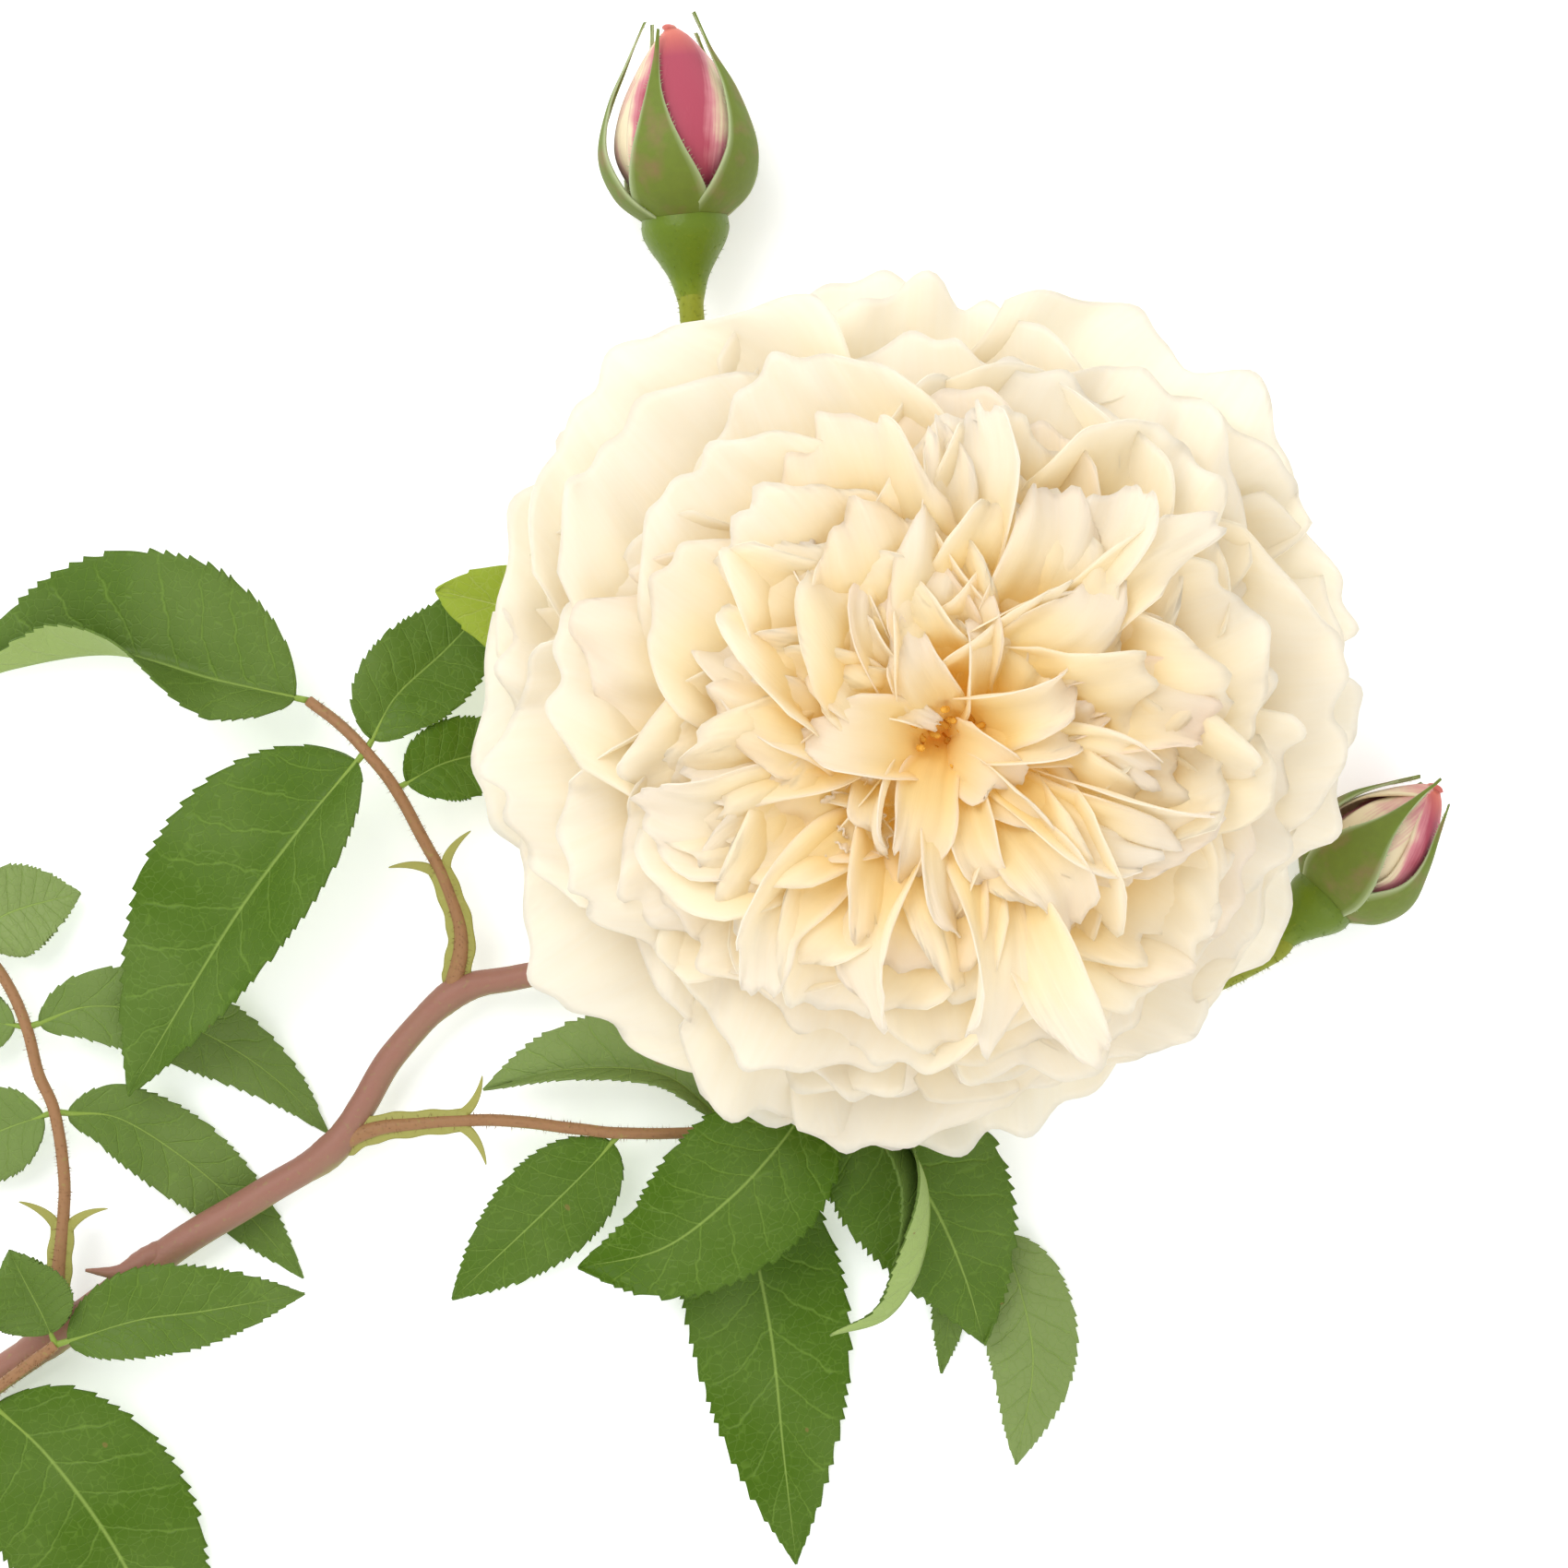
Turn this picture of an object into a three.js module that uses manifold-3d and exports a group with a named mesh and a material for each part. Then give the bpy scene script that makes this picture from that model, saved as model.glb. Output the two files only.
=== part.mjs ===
// A cut spray of a shrub rose, lying down: one open many-petalled bloom that faces up, two buds on their
// stalks, and five compound leaves on one forked stem. Millimetres, +Z up, resting on z = 0.
// The plan is drawn about the point straight under the bloom's heart, with +Y towards the upper bud.

import * as THREE from 'three';
import { mergeVertices } from 'three/addons/utils/BufferGeometryUtils.js';
import Module from 'manifold-3d';

const wasm = await Module();
wasm.setup();

// Driving dimensions
const sprayLength = 200;        // upper bud's tips to the lowest leaf tip, which the plan's places follow
const bloomRadius = 51;         // heart to the tips of the outer petals
const bloomDepth = 36;          // receptacle rim to the top of the heart petals
const bloomTilt = 9;            // degrees that the bloom leans from straight up
const bloomLean = -66;          // compass direction of that lean, degrees from +X
const underBloom = 12;          // room between the side bud and the receptacle rim above it
const petalThickness = 0.8;
const stemRadius = 2.05;        // at the cut end; it tapers to stemTipShare of this at the top fork
const stemTipShare = 0.64;
const stemLift = 0.9;           // air between the stem and the surface
const stalkRadius = 1.35;       // flower stalks
const leafStalkRadius = 0.9;    // leaf stalks at their base
const leafThickness = 0.5;
const upperBudRadius = 9.7;     // over the sepals, at the belly
const sideBudRadius = 7.9;
const clearance = 0.3;          // between two pieces that meet

const plan = sprayLength / 200;                   // the plan below is drawn for a spray 200 mm long
const leafScale = plan;                           // leaflets widen with the plan
const floorToStem = stemLift + stemRadius;        // height of the stem's axis at the cut end
const rad = THREE.MathUtils.degToRad;
const up = new THREE.Vector3(0, 0, 1);

const at = ([x, y, z]) => new THREE.Vector3(x * plan, y * plan, z);

const finish = (color, roughness) => new THREE.MeshStandardMaterial({ color, roughness, metalness: 0 });
const looks = {
  stem: finish(0x9c6f63, 0.55),
  stalk: finish(0x9aa04a, 0.55),
  leafStalk: finish(0xb28f5e, 0.6),
  leaf: finish(0x567f35, 0.5),
  paleLeaf: finish(0x9fb04e, 0.55),
  sepal: finish(0x7a8c4c, 0.6),
  outerPetal: finish(0xfaf5e6, 0.65),
  innerPetal: finish(0xf6e3bf, 0.65),
  budPetal: finish(0xc25f78, 0.6),
  stamen: finish(0xd9a441, 0.7),
};

// Solids

function closedGeometry(positions, index) {
  const geometry = new THREE.BufferGeometry();
  geometry.setAttribute('position', new THREE.Float32BufferAttribute(positions, 3));
  geometry.setIndex(index);
  return geometry;
}

// Thin closed solid over a sheet. sheet(u, w) gives its middle surface, with u from 0 to 1 along it and
// w from -1 to 1 across it, and u cross w points to its upper side.
function sheetSolid(sheet, thickness, rows, columns) {
  const reach = 1e-3;
  const positions = [];
  const index = [];
  for (const side of [1, -1]) {
    for (let i = 0; i <= rows; i++) {
      for (let j = 0; j <= columns; j++) {
        const u = i / rows;
        const w = (2 * j) / columns - 1;
        const along = sheet(Math.min(u + reach, 1), w).sub(sheet(Math.max(u - reach, 0), w));
        const across = sheet(u, Math.min(w + reach, 1)).sub(sheet(u, Math.max(w - reach, -1)));
        const normal = along.cross(across).normalize();
        positions.push(...sheet(u, w).addScaledVector(normal, (side * thickness) / 2));
      }
    }
  }
  const top = (i, j) => i * (columns + 1) + j;
  const bottom = (i, j) => (rows + 1) * (columns + 1) + top(i, j);
  const quad = (a, b, c, d) => index.push(a, b, c, a, c, d);
  for (let i = 0; i < rows; i++) {
    for (let j = 0; j < columns; j++) {
      quad(top(i, j), top(i + 1, j), top(i + 1, j + 1), top(i, j + 1));
      quad(bottom(i, j), bottom(i, j + 1), bottom(i + 1, j + 1), bottom(i + 1, j));
    }
    quad(bottom(i, 0), bottom(i + 1, 0), top(i + 1, 0), top(i, 0));
    quad(top(i, columns), top(i + 1, columns), bottom(i + 1, columns), bottom(i, columns));
  }
  for (let j = 0; j < columns; j++) {
    quad(bottom(0, j + 1), bottom(0, j), top(0, j), top(0, j + 1));
    quad(bottom(rows, j), bottom(rows, j + 1), top(rows, j + 1), top(rows, j));
  }
  return closedGeometry(positions, index);
}

// Closed tapered rod: round sections carried along a smooth curve, with their radii spread evenly over it
function rodSolid(path, radii, steps, sides = 8) {
  const frames = path.computeFrenetFrames(steps, false);
  const positions = [];
  const index = [];
  for (let i = 0; i <= steps; i++) {
    const place = (i / steps) * (radii.length - 1);
    const before = Math.min(Math.floor(place), radii.length - 2);
    const radius = THREE.MathUtils.lerp(radii[before], radii[before + 1], place - before);
    const centre = path.getPointAt(i / steps);
    for (let j = 0; j < sides; j++) {
      const turn = (2 * Math.PI * j) / sides;
      const point = centre.clone();
      point.addScaledVector(frames.normals[i], radius * Math.cos(turn));
      point.addScaledVector(frames.binormals[i], radius * Math.sin(turn));
      positions.push(...point);
    }
  }
  const first = positions.length / 3;
  positions.push(...path.getPointAt(0), ...path.getPointAt(1));
  for (let j = 0; j < sides; j++) {
    const next = (j + 1) % sides;
    for (let i = 0; i < steps; i++) {
      const here = i * sides;
      const there = here + sides;
      index.push(here + j, here + next, there + next, here + j, there + next, there + j);
    }
    index.push(first, next, j);
    index.push(first + 1, steps * sides + j, steps * sides + next);
  }
  return closedGeometry(positions, index);
}

// Closed turned solid about +Z from a profile of [radius, height] that starts and ends on the axis
function turnedSolid(profile, sides) {
  const points = profile.map(([radius, height]) => new THREE.Vector2(radius, height));
  return new THREE.LatheGeometry(points, sides).rotateX(Math.PI / 2);
}

function toManifold(geometry) {
  const bare = new THREE.BufferGeometry();
  bare.setAttribute('position', geometry.attributes.position);
  bare.setIndex(geometry.index);
  const merged = mergeVertices(bare);
  const mesh = new wasm.Mesh({
    numProp: 3,
    vertProperties: merged.attributes.position.array,
    triVerts: new Uint32Array(merged.index.array),
  });
  return new wasm.Manifold(mesh);
}

function fromManifold(solid) {
  const mesh = solid.getMesh();
  return closedGeometry(mesh.vertProperties, Array.from(mesh.triVerts));
}

const joined = (geometries) => geometries.map(toManifold).reduce((sum, solid) => sum.add(solid));

const named = (name, geometry, material) => {
  const mesh = new THREE.Mesh(geometry, material);
  mesh.name = name;
  return mesh;
};

const curve = (points) => new THREE.CatmullRomCurve3(points);

// Stems

const stemAxis = [
  [-118, -83.5, 0], [-110.5, -77.5, 0.2], [-100.5, -70.5, 0.5], [-89, -62, 0.8], [-78.5, -55.5, 1.1],
  [-70.5, -50.5, 1.3], [-66.5, -45, 1.5], [-62.5, -38.5, 1.8], [-55.5, -31.5, 2.1], [-48, -29.5, 2.3],
  [-40, -28, 2.4], [-26, -24, 2.6], [-12.5, -16.5, 2.8],
];                                                // the last number is the rise above the cut end
const stemPoints = stemAxis.map(([x, y, rise]) => at([x, y, floorToStem + rise]));
const stemPath = curve(stemPoints);
const topFork = stemPoints.at(-1);
const stemRadii = (grow) => [1, 0.93, 0.82, 0.72, stemTipShare].map((share) => stemRadius * share + grow);
const knuckleRadius = stemRadius * 1.15;          // swelling where the flower stalks spring

const knuckle = (grow) => new THREE.IcosahedronGeometry(knuckleRadius + grow, 1).translate(...topFork);
const stemSteps = 32;

// Sheathing scale with a thin free tip, on the stem's upper side below the fork
function stemScale() {
  const run = [[-88.5, -61.5, 0.6], [-92, -63.2, 1.2], [-95.5, -64.8, 1.8], [-99.5, -64.5, 2.6]];
  const path = curve(run.map(([x, y, rise]) => at([x, y, floorToStem + rise])));
  return rodSolid(path, [1.1, 1.7, 0.8, 0.25], 8, 6);
}

const stemBody = [rodSolid(stemPath, stemRadii(0), stemSteps), knuckle(0), stemScale()];
const stemRoom = [rodSolid(stemPath, stemRadii(clearance), stemSteps), knuckle(clearance)];
const stemClear = joined(stemRoom);               // what keeps clear of the stem is cut by this

const fromFork = ([x, y, rise]) => at([x, y, rise]).add(new THREE.Vector3(topFork.x, topFork.y, 0));

// A flower's own frame: +Z along its axis and +X towards side. Its origin is the hip's base in a bud, and
// the middle of the receptacle's rim in the bloom.
function flowerGroup(origin, axis, side) {
  const z = axis.clone().normalize();
  const x = side.clone().addScaledVector(z, -side.dot(z)).normalize();
  const group = new THREE.Group();
  group.quaternion.setFromRotationMatrix(new THREE.Matrix4().makeBasis(x, z.clone().cross(x), z));
  group.position.copy(origin);
  return group;
}

// Sepal: a long narrow sheet beside the flower's axis. profile is the [radius, height] that its middle
// follows from foot to tip, angle is where it stands round the axis, and width sets how broad it is.
function sepalSolid(profile, angle, width, thickness) {
  const path = curve(profile.map(([radius, height]) => new THREE.Vector3(radius, 0, height)));
  const sheet = (u, w) => {
    const middle = path.getPointAt(u);
    const half = (width / 2) * (0.1 + 0.9 * Math.pow(1 - u, 0.8) * (0.75 + 0.9 * u));
    const turn = angle + (w * half) / Math.max(middle.x, half);
    return new THREE.Vector3(middle.x * Math.cos(turn), middle.x * Math.sin(turn), middle.z);
  };
  return sheetSolid(sheet, thickness, 7, 2);
}

function calyxGeometry(hip, sepalProfile, firstAngle, sepalWidth, sepalThickness) {
  const pieces = [turnedSolid(hip, 12)];
  for (let k = 0; k < 5; k++) {
    pieces.push(sepalSolid(sepalProfile, rad(firstAngle + 72 * k), sepalWidth, sepalThickness));
  }
  return fromManifold(joined(pieces));
}

// A bud is drawn for one belly radius and scaled to its own, with its sepals' own thickness
const sepalThickness = 0.8;
const drawnBelly = 9.7;
const budSepalWidth = 9.5;

function budGroup(name, origin, axis, radius, firstAngle) {
  const size = radius / drawnBelly;
  const scaled = (profile) => profile.map(([r, h]) => [r * size, h * size]);
  const sepalMiddle = scaled([[4.2, 7.7], [7.6, 10.6], [9.2, 15.5], [7.8, 22], [5.2, 28], [3.6, 33]]);
  const hip = scaled([
    [0, 0], [1.9, 0], [2.6, 1.2], [4.6, 3.4], [5.5, 5.6], [5.1, 7.4], [4.9, 8.1], [0, 8.1],
  ]);
  const inside = sepalThickness / 2 + clearance + 0.1;
  const petals = [
    [0, 8.1], [3.6, 8.7], [6.9, 11.4], [8.7, 15.6], [7.6, 20.6], [5, 25.4], [2.4, 28.6], [0, 29.8],
  ];
  const group = flowerGroup(origin, axis, up);
  const calyx = calyxGeometry(hip, sepalMiddle, firstAngle, budSepalWidth * size, sepalThickness);
  group.add(named(`${name}_calyx`, calyx, looks.sepal));
  const hipTop = hip.at(-1)[1];
  const core = scaled(petals).map(([r, h]) => [Math.max(r - inside, 0), Math.max(h, hipTop + clearance)]);
  group.add(named(`${name}_petals`, turnedSolid(core, 14), looks.budPetal));
  return group;
}

// Flower stalks run from the top fork to the base of each flower's hip, clear of both
const bloomAxis = new THREE.Vector3(
  Math.sin(rad(bloomTilt)) * Math.cos(rad(bloomLean)),
  Math.sin(rad(bloomTilt)) * Math.sin(rad(bloomLean)),
  Math.cos(rad(bloomTilt)),
);
const bloomHeight = 2 * sideBudRadius + underBloom;
const bloomRim = new THREE.Vector3(-0.85, 2, bloomHeight);   // centre of the receptacle's rim
const hipDepth = 12;
const bloomHipBase = bloomRim.clone().addScaledVector(bloomAxis, -hipDepth - petalThickness);

const upperBudBase = at([-27.2, 53, 0]).setZ(upperBudRadius - 0.4);
const upperBudAxis = new THREE.Vector3(-0.075, 1, 0.015);
const sideBudBase = at([44, -24.2, 0]).setZ(sideBudRadius - 0.2);
const sideBudAxis = new THREE.Vector3(0.71, 0.7, 0.012);

const stalkSides = 8;
const behind = (base, axis, distance) => base.clone().addScaledVector(axis.clone().normalize(), -distance);
const forkRoom = [stemClear];                     // what the next stalk at the fork keeps clear of

function stalkGeometry(points, shares, steps, base, axis) {
  const path = curve([...points, behind(base, axis, 4), behind(base, axis, clearance)]);
  const rod = (grow) => rodSolid(path, shares.map((share) => stalkRadius * share + grow), steps, stalkSides);
  const solid = forkRoom.reduce((rest, room) => rest.subtract(room), toManifold(rod(0)));
  forkRoom.push(toManifold(rod(clearance)));
  return fromManifold(solid);
}

const bloomStalk = stalkGeometry(
  [topFork, fromFork([3.5, 4.5, 5.6]), fromFork([8, 12.5, 6.4])],
  [1, 1, 1.15], 14, bloomHipBase, bloomAxis,
);
const upperBudStalk = stalkGeometry(
  [topFork, fromFork([-4, 11, 5]), fromFork([-9.5, 26, 4.2]), fromFork([-13, 46, 4.8])],
  [0.9, 0.9, 1, 1.1], 20, upperBudBase, upperBudAxis,
);
const sideBudStalk = stalkGeometry(
  [topFork, fromFork([9, -7, 4.6]), fromFork([24, -15, 3.4]), fromFork([40, -16.5, 3.8])],
  [0.9, 0.85, 0.85, 1], 20, sideBudBase, sideBudAxis,
);

// Bloom petals, in rings. profile is [radius, height] from the claw to the tip, from the receptacle's rim.
// Each ring's petals share the circle out with a narrow gap, and stand over the gaps of the ring below.
const rings = [
  { name: 'guard', count: 6, turn: 12, profile: [[4.6, 0.2], [24, 6], [40, 2.5], [51, -3]], wave: 0.9 },
  { name: 'second', count: 6, turn: 42, profile: [[4.2, 1.8], [20, 11], [36, 11], [47, 5]], wave: 0.9 },
  { name: 'third', count: 5, turn: 20, profile: [[3.8, 3.4], [15, 16], [29, 21], [41, 17]], wave: 0.8 },
  { name: 'fourth', count: 5, turn: 56, profile: [[3.4, 5], [10, 19.5], [20, 28], [32, 27.5]], wave: 0.6 },
];
const petalGap = 1.5;           // degrees between neighbours in a ring
const drawnRadius = 51;
const drawnDepth = 36;
const clawWidth = 3.6;
const petalPoint = ([radius, height]) => new THREE.Vector3(
  (radius * bloomRadius) / drawnRadius, 0, (height * bloomDepth) / drawnDepth,
);

// (u, w): a point of the profile, turned about the axis by w times the petal's half angle. The half angle
// grows from the claw's, and the outer corners are drawn in to round the tip.
function petalSolid(profile, angle, halfAngle, wave, rows, columns) {
  const path = curve(profile.map(petalPoint));
  const sheet = (u, w) => {
    const reach = u * (1 - 0.16 * w * w * u);
    const middle = path.getPointAt(reach);
    const clawAngle = Math.min(clawWidth / 2 / middle.x, halfAngle);
    const spread = THREE.MathUtils.smoothstep(u, 0, 0.4);
    const half = THREE.MathUtils.lerp(clawAngle, halfAngle, spread) * (1 - 0.22 * u ** 5);
    const turn = angle + w * half;
    const lift = wave * u * u * Math.sin(2.5 * Math.PI * w + 5 * angle);
    return new THREE.Vector3(middle.x * Math.cos(turn), middle.x * Math.sin(turn), middle.z + lift);
  };
  return sheetSolid(sheet, petalThickness, rows, columns);
}

// The small quartered petals at the heart are fused at their claws to one short column
function heartGeometry() {
  const column = [[0, 6.9], [2.2, 6.9], [2.3, 9], [1.2, 12], [0, 12.5]].map(petalPoint);
  const pieces = [turnedSolid(column.map((point) => [point.x, point.z]), 12)];
  const inner = [
    { count: 6, turn: 10, profile: [[1.8, 8.6], [4.2, 20], [8, 29], [15, 33.5]], half: 24 },
    { count: 4, turn: 35, profile: [[1.4, 9.6], [2.6, 19], [4.6, 29], [6.4, 35.6]], half: 30 },
  ];
  for (const { count, turn, profile, half } of inner) {
    for (let k = 0; k < count; k++) {
      pieces.push(petalSolid(profile, rad(turn + (360 * k) / count), rad(half), 0, 4, 2));
    }
  }
  return fromManifold(joined(pieces));
}

function bloomGroup() {
  const group = flowerGroup(bloomRim, bloomAxis, new THREE.Vector3(1, 0, 0));
  const top = -petalThickness;
  const hip = [
    [0, -hipDepth], [1.8, -hipDepth], [3.4, -10.8], [5.3, -7.6], [5.6, -4.6], [5, -2.4], [5.2, top], [0, top],
  ].map(([radius, height]) => [radius, Math.min(height, top)]);
  const sepals = [[4.4, -1.5], [9, -0.3], [15, 0.2], [21, -2], [27, -7]];
  group.add(named('bloom_calyx', calyxGeometry(hip, sepals, 45, 6.4, sepalThickness), looks.sepal));

  // the styles and stamens, as one spindle that is alike end for end
  const styles = [[0, 0], [1.2, 0.5], [2.1, 1.9], [2.1, 4.5], [1.2, 5.9], [0, 6.4]];
  group.add(named('stamen_boss', turnedSolid(styles, 12), looks.stamen));

  for (const { name, count, turn, profile, wave } of rings) {
    for (let k = 0; k < count; k++) {
      const half = rad(180 / count - petalGap);
      const solid = petalSolid(profile, rad(turn + (360 * k) / count), half, wave, 6, 4);
      const look = name === 'fourth' ? looks.innerPetal : looks.outerPetal;
      group.add(named(`${name}_petal_${k + 1}`, solid, look));
    }
  }
  group.add(named('heart_petals', heartGeometry(), looks.innerPetal));
  return group;
}

// Leaves. node is how far up the stem a leaf springs, stalk is its stalk's run from there, and joint says
// which of those points a leaflet springs from. rib is the run of the leaflet's midrib, half the width of
// its left and right halves, tilt how many degrees each is turned up, and stipule the winged length.
const leaves = {
  upper_leaf: {
    node: 0.6415,
    stalk: [
      [-54.5, -24.5, 6.5], [-56.5, -17.5, 8.5], [-58.5, -13.5, 9.5], [-62, -7, 10.5],
      [-65.5, -2.5, 10.5], [-68.5, 0.5, 9.5], [-72.5, 3.5, 8.5],
    ],
    stipule: 17,
    leaflets: [
      {
        joint: 6, half: [8, 13], tilt: [78, 4],
        rib: [[-84, 6, 8.5], [-96, 9, 7], [-108, 7.5, 4.5], [-115, 5, 3]],
      },
      {
        joint: 4, half: [9, 13], tilt: [42, -6],
        rib: [[-72.5, -11, 11.5], [-80, -21, 11], [-87, -32, 9.5], [-94, -43.5, 7.5]],
      },
      {
        joint: 4, half: [6, 6], tilt: [8, 8],
        rib: [[-62, 4, 9.5], [-56.5, 9.5, 6.5], [-51.5, 15, 4], [-48, 18.5, 3]],
      },
      {
        joint: 3, half: [4.8, 4.8], tilt: [10, 10],
        rib: [[-56.5, -4, 9], [-51, -2.5, 6.5], [-44.5, -1, 4.5]],
      },
    ],
  },
  middle_leaf: {
    node: 0.4515,
    stalk: [
      [-66, -48, 5.2], [-60.5, -47, 6], [-50.5, -46.5, 6.5], [-40.5, -47.5, 7],
      [-35.5, -48, 7], [-28, -48, 7], [-22, -47.5, 6.5],
    ],
    stipule: 18,
    leaflets: [
      {
        joint: 6, half: [2.4, 7], tilt: [60, 12],
        rib: [[-30.5, -41, 8], [-41.5, -40.5, 6.5], [-52, -43, 4.5]],
      },
      {
        joint: 4, half: [6, 6], tilt: [6, 6],
        rib: [[-39, -52, 5.5], [-45, -58, 3.5], [-56, -68.5, 0.9]],
      },
      {
        joint: 6, half: [9.6, 9.6], tilt: [2, 2],
        rib: [[-20, -59.5, 3.8], [-17.5, -73, 2], [-16, -87.5, 1], [-14.5, -100.5, 0.6]],
      },
    ],
  },
  inner_leaf: {
    node: 1,
    stalk: [
      [-12, -29.5, 6.5], [-11.5, -42, 8], [-9, -50, 6], [-5.5, -53, 4.4], [1.5, -56, 3],
      [9.5, -59, 2.4],
    ],
    stipule: 14,
    leaflets: [
      {
        joint: 1, half: [9, 9], tilt: [6, 6],
        rib: [[-16.5, -49, 11.5], [-22.5, -55.5, 11], [-30.5, -61.5, 9.5], [-40.5, -64, 7.5]],
      },
      {
        joint: 1, half: [10, 10], tilt: [4, 4],
        rib: [[-5, -46.5, 9], [1.5, -56, 8], [5.5, -65, 6], [8, -73.5, 4]],
      },
      {
        joint: 1, half: [4.6, 4.6], tilt: [66, 66],
        rib: [[-5, -44.5, 14], [0.5, -52.5, 14.5], [0.5, -62, 12.5], [-3.5, -69.5, 9.5], [-10.5, -72, 8]],
      },
      {
        joint: 5, half: [5.5, 5.5], tilt: [2, 2],
        rib: [[12.5, -67.5, 1.8], [14, -76.5, 1], [12, -88.5, 0.5]],
      },
      {
        joint: 4, half: [2.6, 2.6], tilt: [4, 4],
        rib: [[5, -63, 1.6], [4, -70, 1], [3, -77.5, 0.6]],
      },
    ],
  },
  lowest_leaf: {
    node: 0.025,
    stalk: [[-111, -79.2, 8.4], [-107, -76.3, 9], [-102.5, -73, 8.8]],
    stipule: 0,
    leaflets: [
      {
        joint: 2, half: [6, 4.4], tilt: [4, 12],
        rib: [[-92.5, -70, 9.2], [-85, -69, 9], [-73, -67, 8]],
      },
      {
        joint: 2, half: [5.5, 5], tilt: [24, 24],
        rib: [[-104, -69, 10], [-106, -64.5, 11.5], [-107.5, -61.5, 11.5]],
      },
      {
        joint: 0, half: [11.5, 11.5], tilt: [2, 2],
        rib: [[-104, -86.5, 6], [-97.5, -96, 3.6], [-92, -106.5, 1.8], [-86.5, -116.5, 0.6]],
      },
    ],
  },
  far_leaf: {
    node: 0.1405,
    stalk: [
      [-103, -68.5, 5.5], [-102.5, -63.5, 6], [-102, -57.5, 6], [-102, -52.5, 6],
      [-103, -45.5, 6.5], [-105, -41, 6], [-106.5, -35.5, 5.5], [-108.5, -31, 5], [-111, -27.5, 4.5],
      [-114.5, -25, 4],
    ],
    stipule: 15,
    leaflets: [
      {
        joint: 9, half: [5.4, 5.4], tilt: [4, 4],
        rib: [[-108, -21.5, 4], [-100.5, -19.5, 3]],
      },
      {
        joint: 6, half: [5, 5], tilt: [3, 3],
        rib: [[-99, -33, 4.8], [-91, -34, 4.2], [-82.5, -38, 2.8], [-76, -43, 1.3], [-71, -48.5, 0.6]],
      },
      {
        joint: 6, half: [4, 4], tilt: [4, 4],
        rib: [[-113, -34.5, 3.6], [-122.5, -31, 1.5]],
      },
      {
        joint: 4, half: [4.8, 4.8], tilt: [2, 2],
        rib: [[-95.5, -46.5, 4.2], [-87.5, -52, 1.6], [-80.5, -58.5, 0.7], [-74, -66, 0.5]],
      },
      {
        joint: 4, half: [5.4, 5.4], tilt: [4, 4],
        rib: [[-110, -48, 4], [-122.5, -53.5, 1.2]],
      },
    ],
  },
};
const leafletStart = 1.7;       // from the leaf stalk's axis to where a leaflet's solid starts

// (u, w): a point of the midrib, moved sideways by w times the half width and raised by the half's tilt
function leafletSolid(points, half, tilt, rise, fall) {
  const path = curve(points);
  const peak = rise / (rise + fall);
  const tallest = peak ** rise * (1 - peak) ** fall;
  const sheet = (u, w) => {
    const forward = path.getTangentAt(u);
    const side = new THREE.Vector3(-forward.y, forward.x, 0).normalize();
    const which = w > 0 ? 0 : 1;
    const share = (u ** rise * (1 - u) ** fall) / tallest;
    const width = THREE.MathUtils.lerp(0.4, half[which] * leafScale, share);
    const lean = rad(tilt[which]);
    return path.getPointAt(u)
      .addScaledVector(side, w * width * Math.cos(lean))
      .addScaledVector(up, Math.abs(w) * width * Math.sin(lean));
  };
  return sheetSolid(sheet, leafThickness, 6, 4);
}

// A leaf stalk with two stipules, where stipule isn't 0: wings along its base that end in free tips
function leafStalkGeometry(node, stalk, stipule) {
  const path = curve([stemPath.getPointAt(node), ...stalk.map(at)]);
  const share = Math.min(stipule / path.getLength(), 0.6);
  const radii = [leafStalkRadius * 1.25, leafStalkRadius, leafStalkRadius * 0.8, leafStalkRadius * 0.65];
  const wing = (u, w) => {
    const place = share * (0.12 + 0.88 * u);
    const forward = path.getTangentAt(place);
    const side = new THREE.Vector3(-forward.y, forward.x, 0).normalize();
    const width = leafStalkRadius * (1.1 + 0.9 * Math.sin(Math.PI * Math.min(u + 0.15, 1) * 0.62));
    return path.getPointAt(place).addScaledVector(side, w * width);
  };
  const pieces = [rodSolid(path, radii, 15, 6)];
  if (stipule > 0) pieces.push(sheetSolid(wing, leafThickness, 4, 2));
  for (const hand of stipule > 0 ? [-1, 1] : []) {
    const root = wing(0.9, hand * 0.6);
    const forward = path.getTangentAt(share);
    const side = new THREE.Vector3(-forward.y, forward.x, 0).normalize().multiplyScalar(hand);
    const bend = root.clone().addScaledVector(side, 2).addScaledVector(forward, 1.6);
    const tip = root.clone().addScaledVector(side, 4.6).addScaledVector(forward, 2).addScaledVector(up, 0.4);
    pieces.push(rodSolid(curve([root, bend, tip]), [0.7, 0.5, 0.2], 3, 5));
  }
  return fromManifold(forkRoom.reduce((rest, room) => rest.subtract(room), joined(pieces)));
}

function leafGroup(name, { node, stalk, stipule, leaflets }) {
  const group = new THREE.Group();
  group.add(named(`${name}_stalk`, leafStalkGeometry(node, stalk, stipule), looks.leafStalk));
  leaflets.forEach(({ joint, rib, half, tilt }, k) => {
    const from = at(stalk[joint]);
    const first = at(rib[0]);
    const start = from.clone().addScaledVector(first.clone().sub(from).normalize(), leafletStart);
    const solid = leafletSolid([start, ...rib.map(at)], half, tilt, 0.6, 0.8);
    group.add(named(`${name}_leaflet_${k + 1}`, solid, looks.leaf));
  });
  return group;
}

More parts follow.
